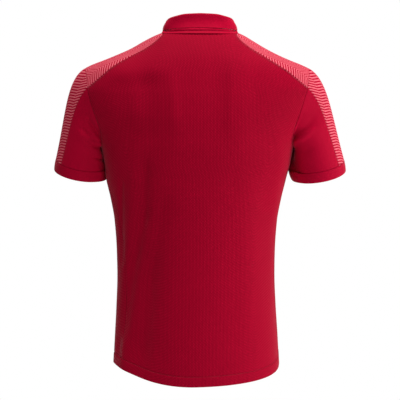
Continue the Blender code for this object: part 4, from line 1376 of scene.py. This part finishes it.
# Colours are linear. The knits' columns and rows, and the print's blocks and period, are in metres.
RED = (0.48, 0.0008, 0.028, 1.0)
DEEP_RED = (0.42, 0.0006, 0.024, 1.0)
# Colour of the painted shade between the loops and in the seams
SHADOW_RED = (0.14, 0.0005, 0.006, 1.0)
SLEEVE_RED = (0.42, 0.001, 0.025, 1.0)
DEEP_SLEEVE_RED = (0.37, 0.0008, 0.021, 1.0)
INK = (0.72, 0.13, 0.17, 1.0)
BODY = Finish(
    dye=RED,
    deep=DEEP_RED,
    shade=SHADOW_RED,
    knit=PIQUE_KNIT,
    column=0.00281,
    row=0.00555,
    between=0.68,
    bump=0.9,
    roughness=0.7,
    specular=0.02,
    sheen=0.2,
)
SMOOTH = BODY._replace(
    dye=SLEEVE_RED,
    deep=DEEP_SLEEVE_RED,
    knit=FINE_KNIT,
    column=0.0011,
    row=0.0008,
    between=0.15,
    bump=0.3,
    roughness=0.6,
)
RIBBED = SMOOTH._replace(dye=RED, deep=DEEP_RED, column=0.0016, row=0.0012, between=0.2, bump=0.4, sheen=0.4)
PRINTED = SMOOTH._replace(sheen=0.0)
PIQUE = cloth_finish("pique_red", BODY)
PLAIN = cloth_finish("plain_red", SMOOTH)
COLLAR = cloth_finish("collar_red", RIBBED)
YOKE_LINES = Print(INK, block=0.021, period=0.0055, slant=0.8, share=0.5)
STRIP_LINES = Print(INK, block=0.026, period=0.0056, slant=0.12, share=0.5)
YOKE_PRINT = cloth_finish("yoke_print", PRINTED, YOKE_LINES)
STRIP_PRINT = cloth_finish("strip_print", PRINTED, STRIP_LINES)
THREAD = plain_finish("sewing_thread", (0.40, 0.004, 0.03, 1.0), 0.55)
BUTTON = plain_finish("button_resin", (0.36, 0.004, 0.03, 1.0), 0.25, coat=0.3)

make_body()
make_arm("left")
make_arm("right")
make_collar()
make_opening()
sew()


# Studio


def make_floor():
    """A wide pale floor, far enough below that the shirt hangs clear of it at a wearer's shoulder height."""
    bpy.ops.object.select_all(action="DESELECT")
    centre = (0, 0, FLOOR_Z)
    bpy.ops.mesh.primitive_circle_add(
        vertices=FLOOR_SIDES, radius=FLOOR_RADIUS, fill_type="NGON", location=centre
    )
    floor = bpy.context.active_object
    floor.name = "floor"
    made, wires, shader = new_finish("pale_floor")
    place = wires.node("ShaderNodeTexCoord").outputs["Object"]
    grain = wires.noise(place, FLOOR_GRAIN, 4.0)
    pale = wires.mix(grain, FLOOR_GREY, FLOOR_WHITE)
    wires.join(pale, shader.inputs["Base Color"])
    shader.inputs["Roughness"].default_value = 0.9
    floor.data.materials.append(made)


def make_light(name, place, power):
    """A square soft white light that shines at the shirt from a place."""
    light = bpy.data.lights.new(name, "AREA")
    light.size = LIGHT_SIZE
    light.energy = power
    made = add_object(name, light)
    made.location = place
    made.rotation_euler = (Vector(LIGHT_AIM) - Vector(place)).to_track_quat("-Z", "Y").to_euler()


def make_world():
    """White behind the shirt, and softer white light on it."""
    world = bpy.data.worlds.new("studio")
    bpy.context.scene.world = world
    world.use_nodes = True
    wires = Wiring(world.node_tree)
    background = world.node_tree.nodes["Background"]
    background.inputs["Color"].default_value = (1.0, 1.0, 1.0, 1.0)
    seen = wires.node("ShaderNodeLightPath").outputs["Is Camera Ray"]
    wires.join(wires.math("MULTIPLY_ADD", seen, 1.0 - FILL, FILL), background.inputs["Strength"])


def make_camera():
    """Level behind the wearer at the middle of the shirt's height, framing it as the photograph does."""
    camera = bpy.data.cameras.new("camera")
    camera.sensor_width = 36.0
    camera.lens = camera.sensor_width * CAMERA_DISTANCE / FRAME_WIDTH
    made = add_object("camera", camera)
    made.location = (0.0, CAMERA_DISTANCE, CAMERA_Z)
    made.rotation_euler = (math.radians(90), 0.0, math.radians(180))
    bpy.context.scene.camera = made


bpy.context.scene.view_settings.view_transform = "Standard"
make_floor()
make_world()
make_camera()
for light in LIGHTS:
    make_light(*light)
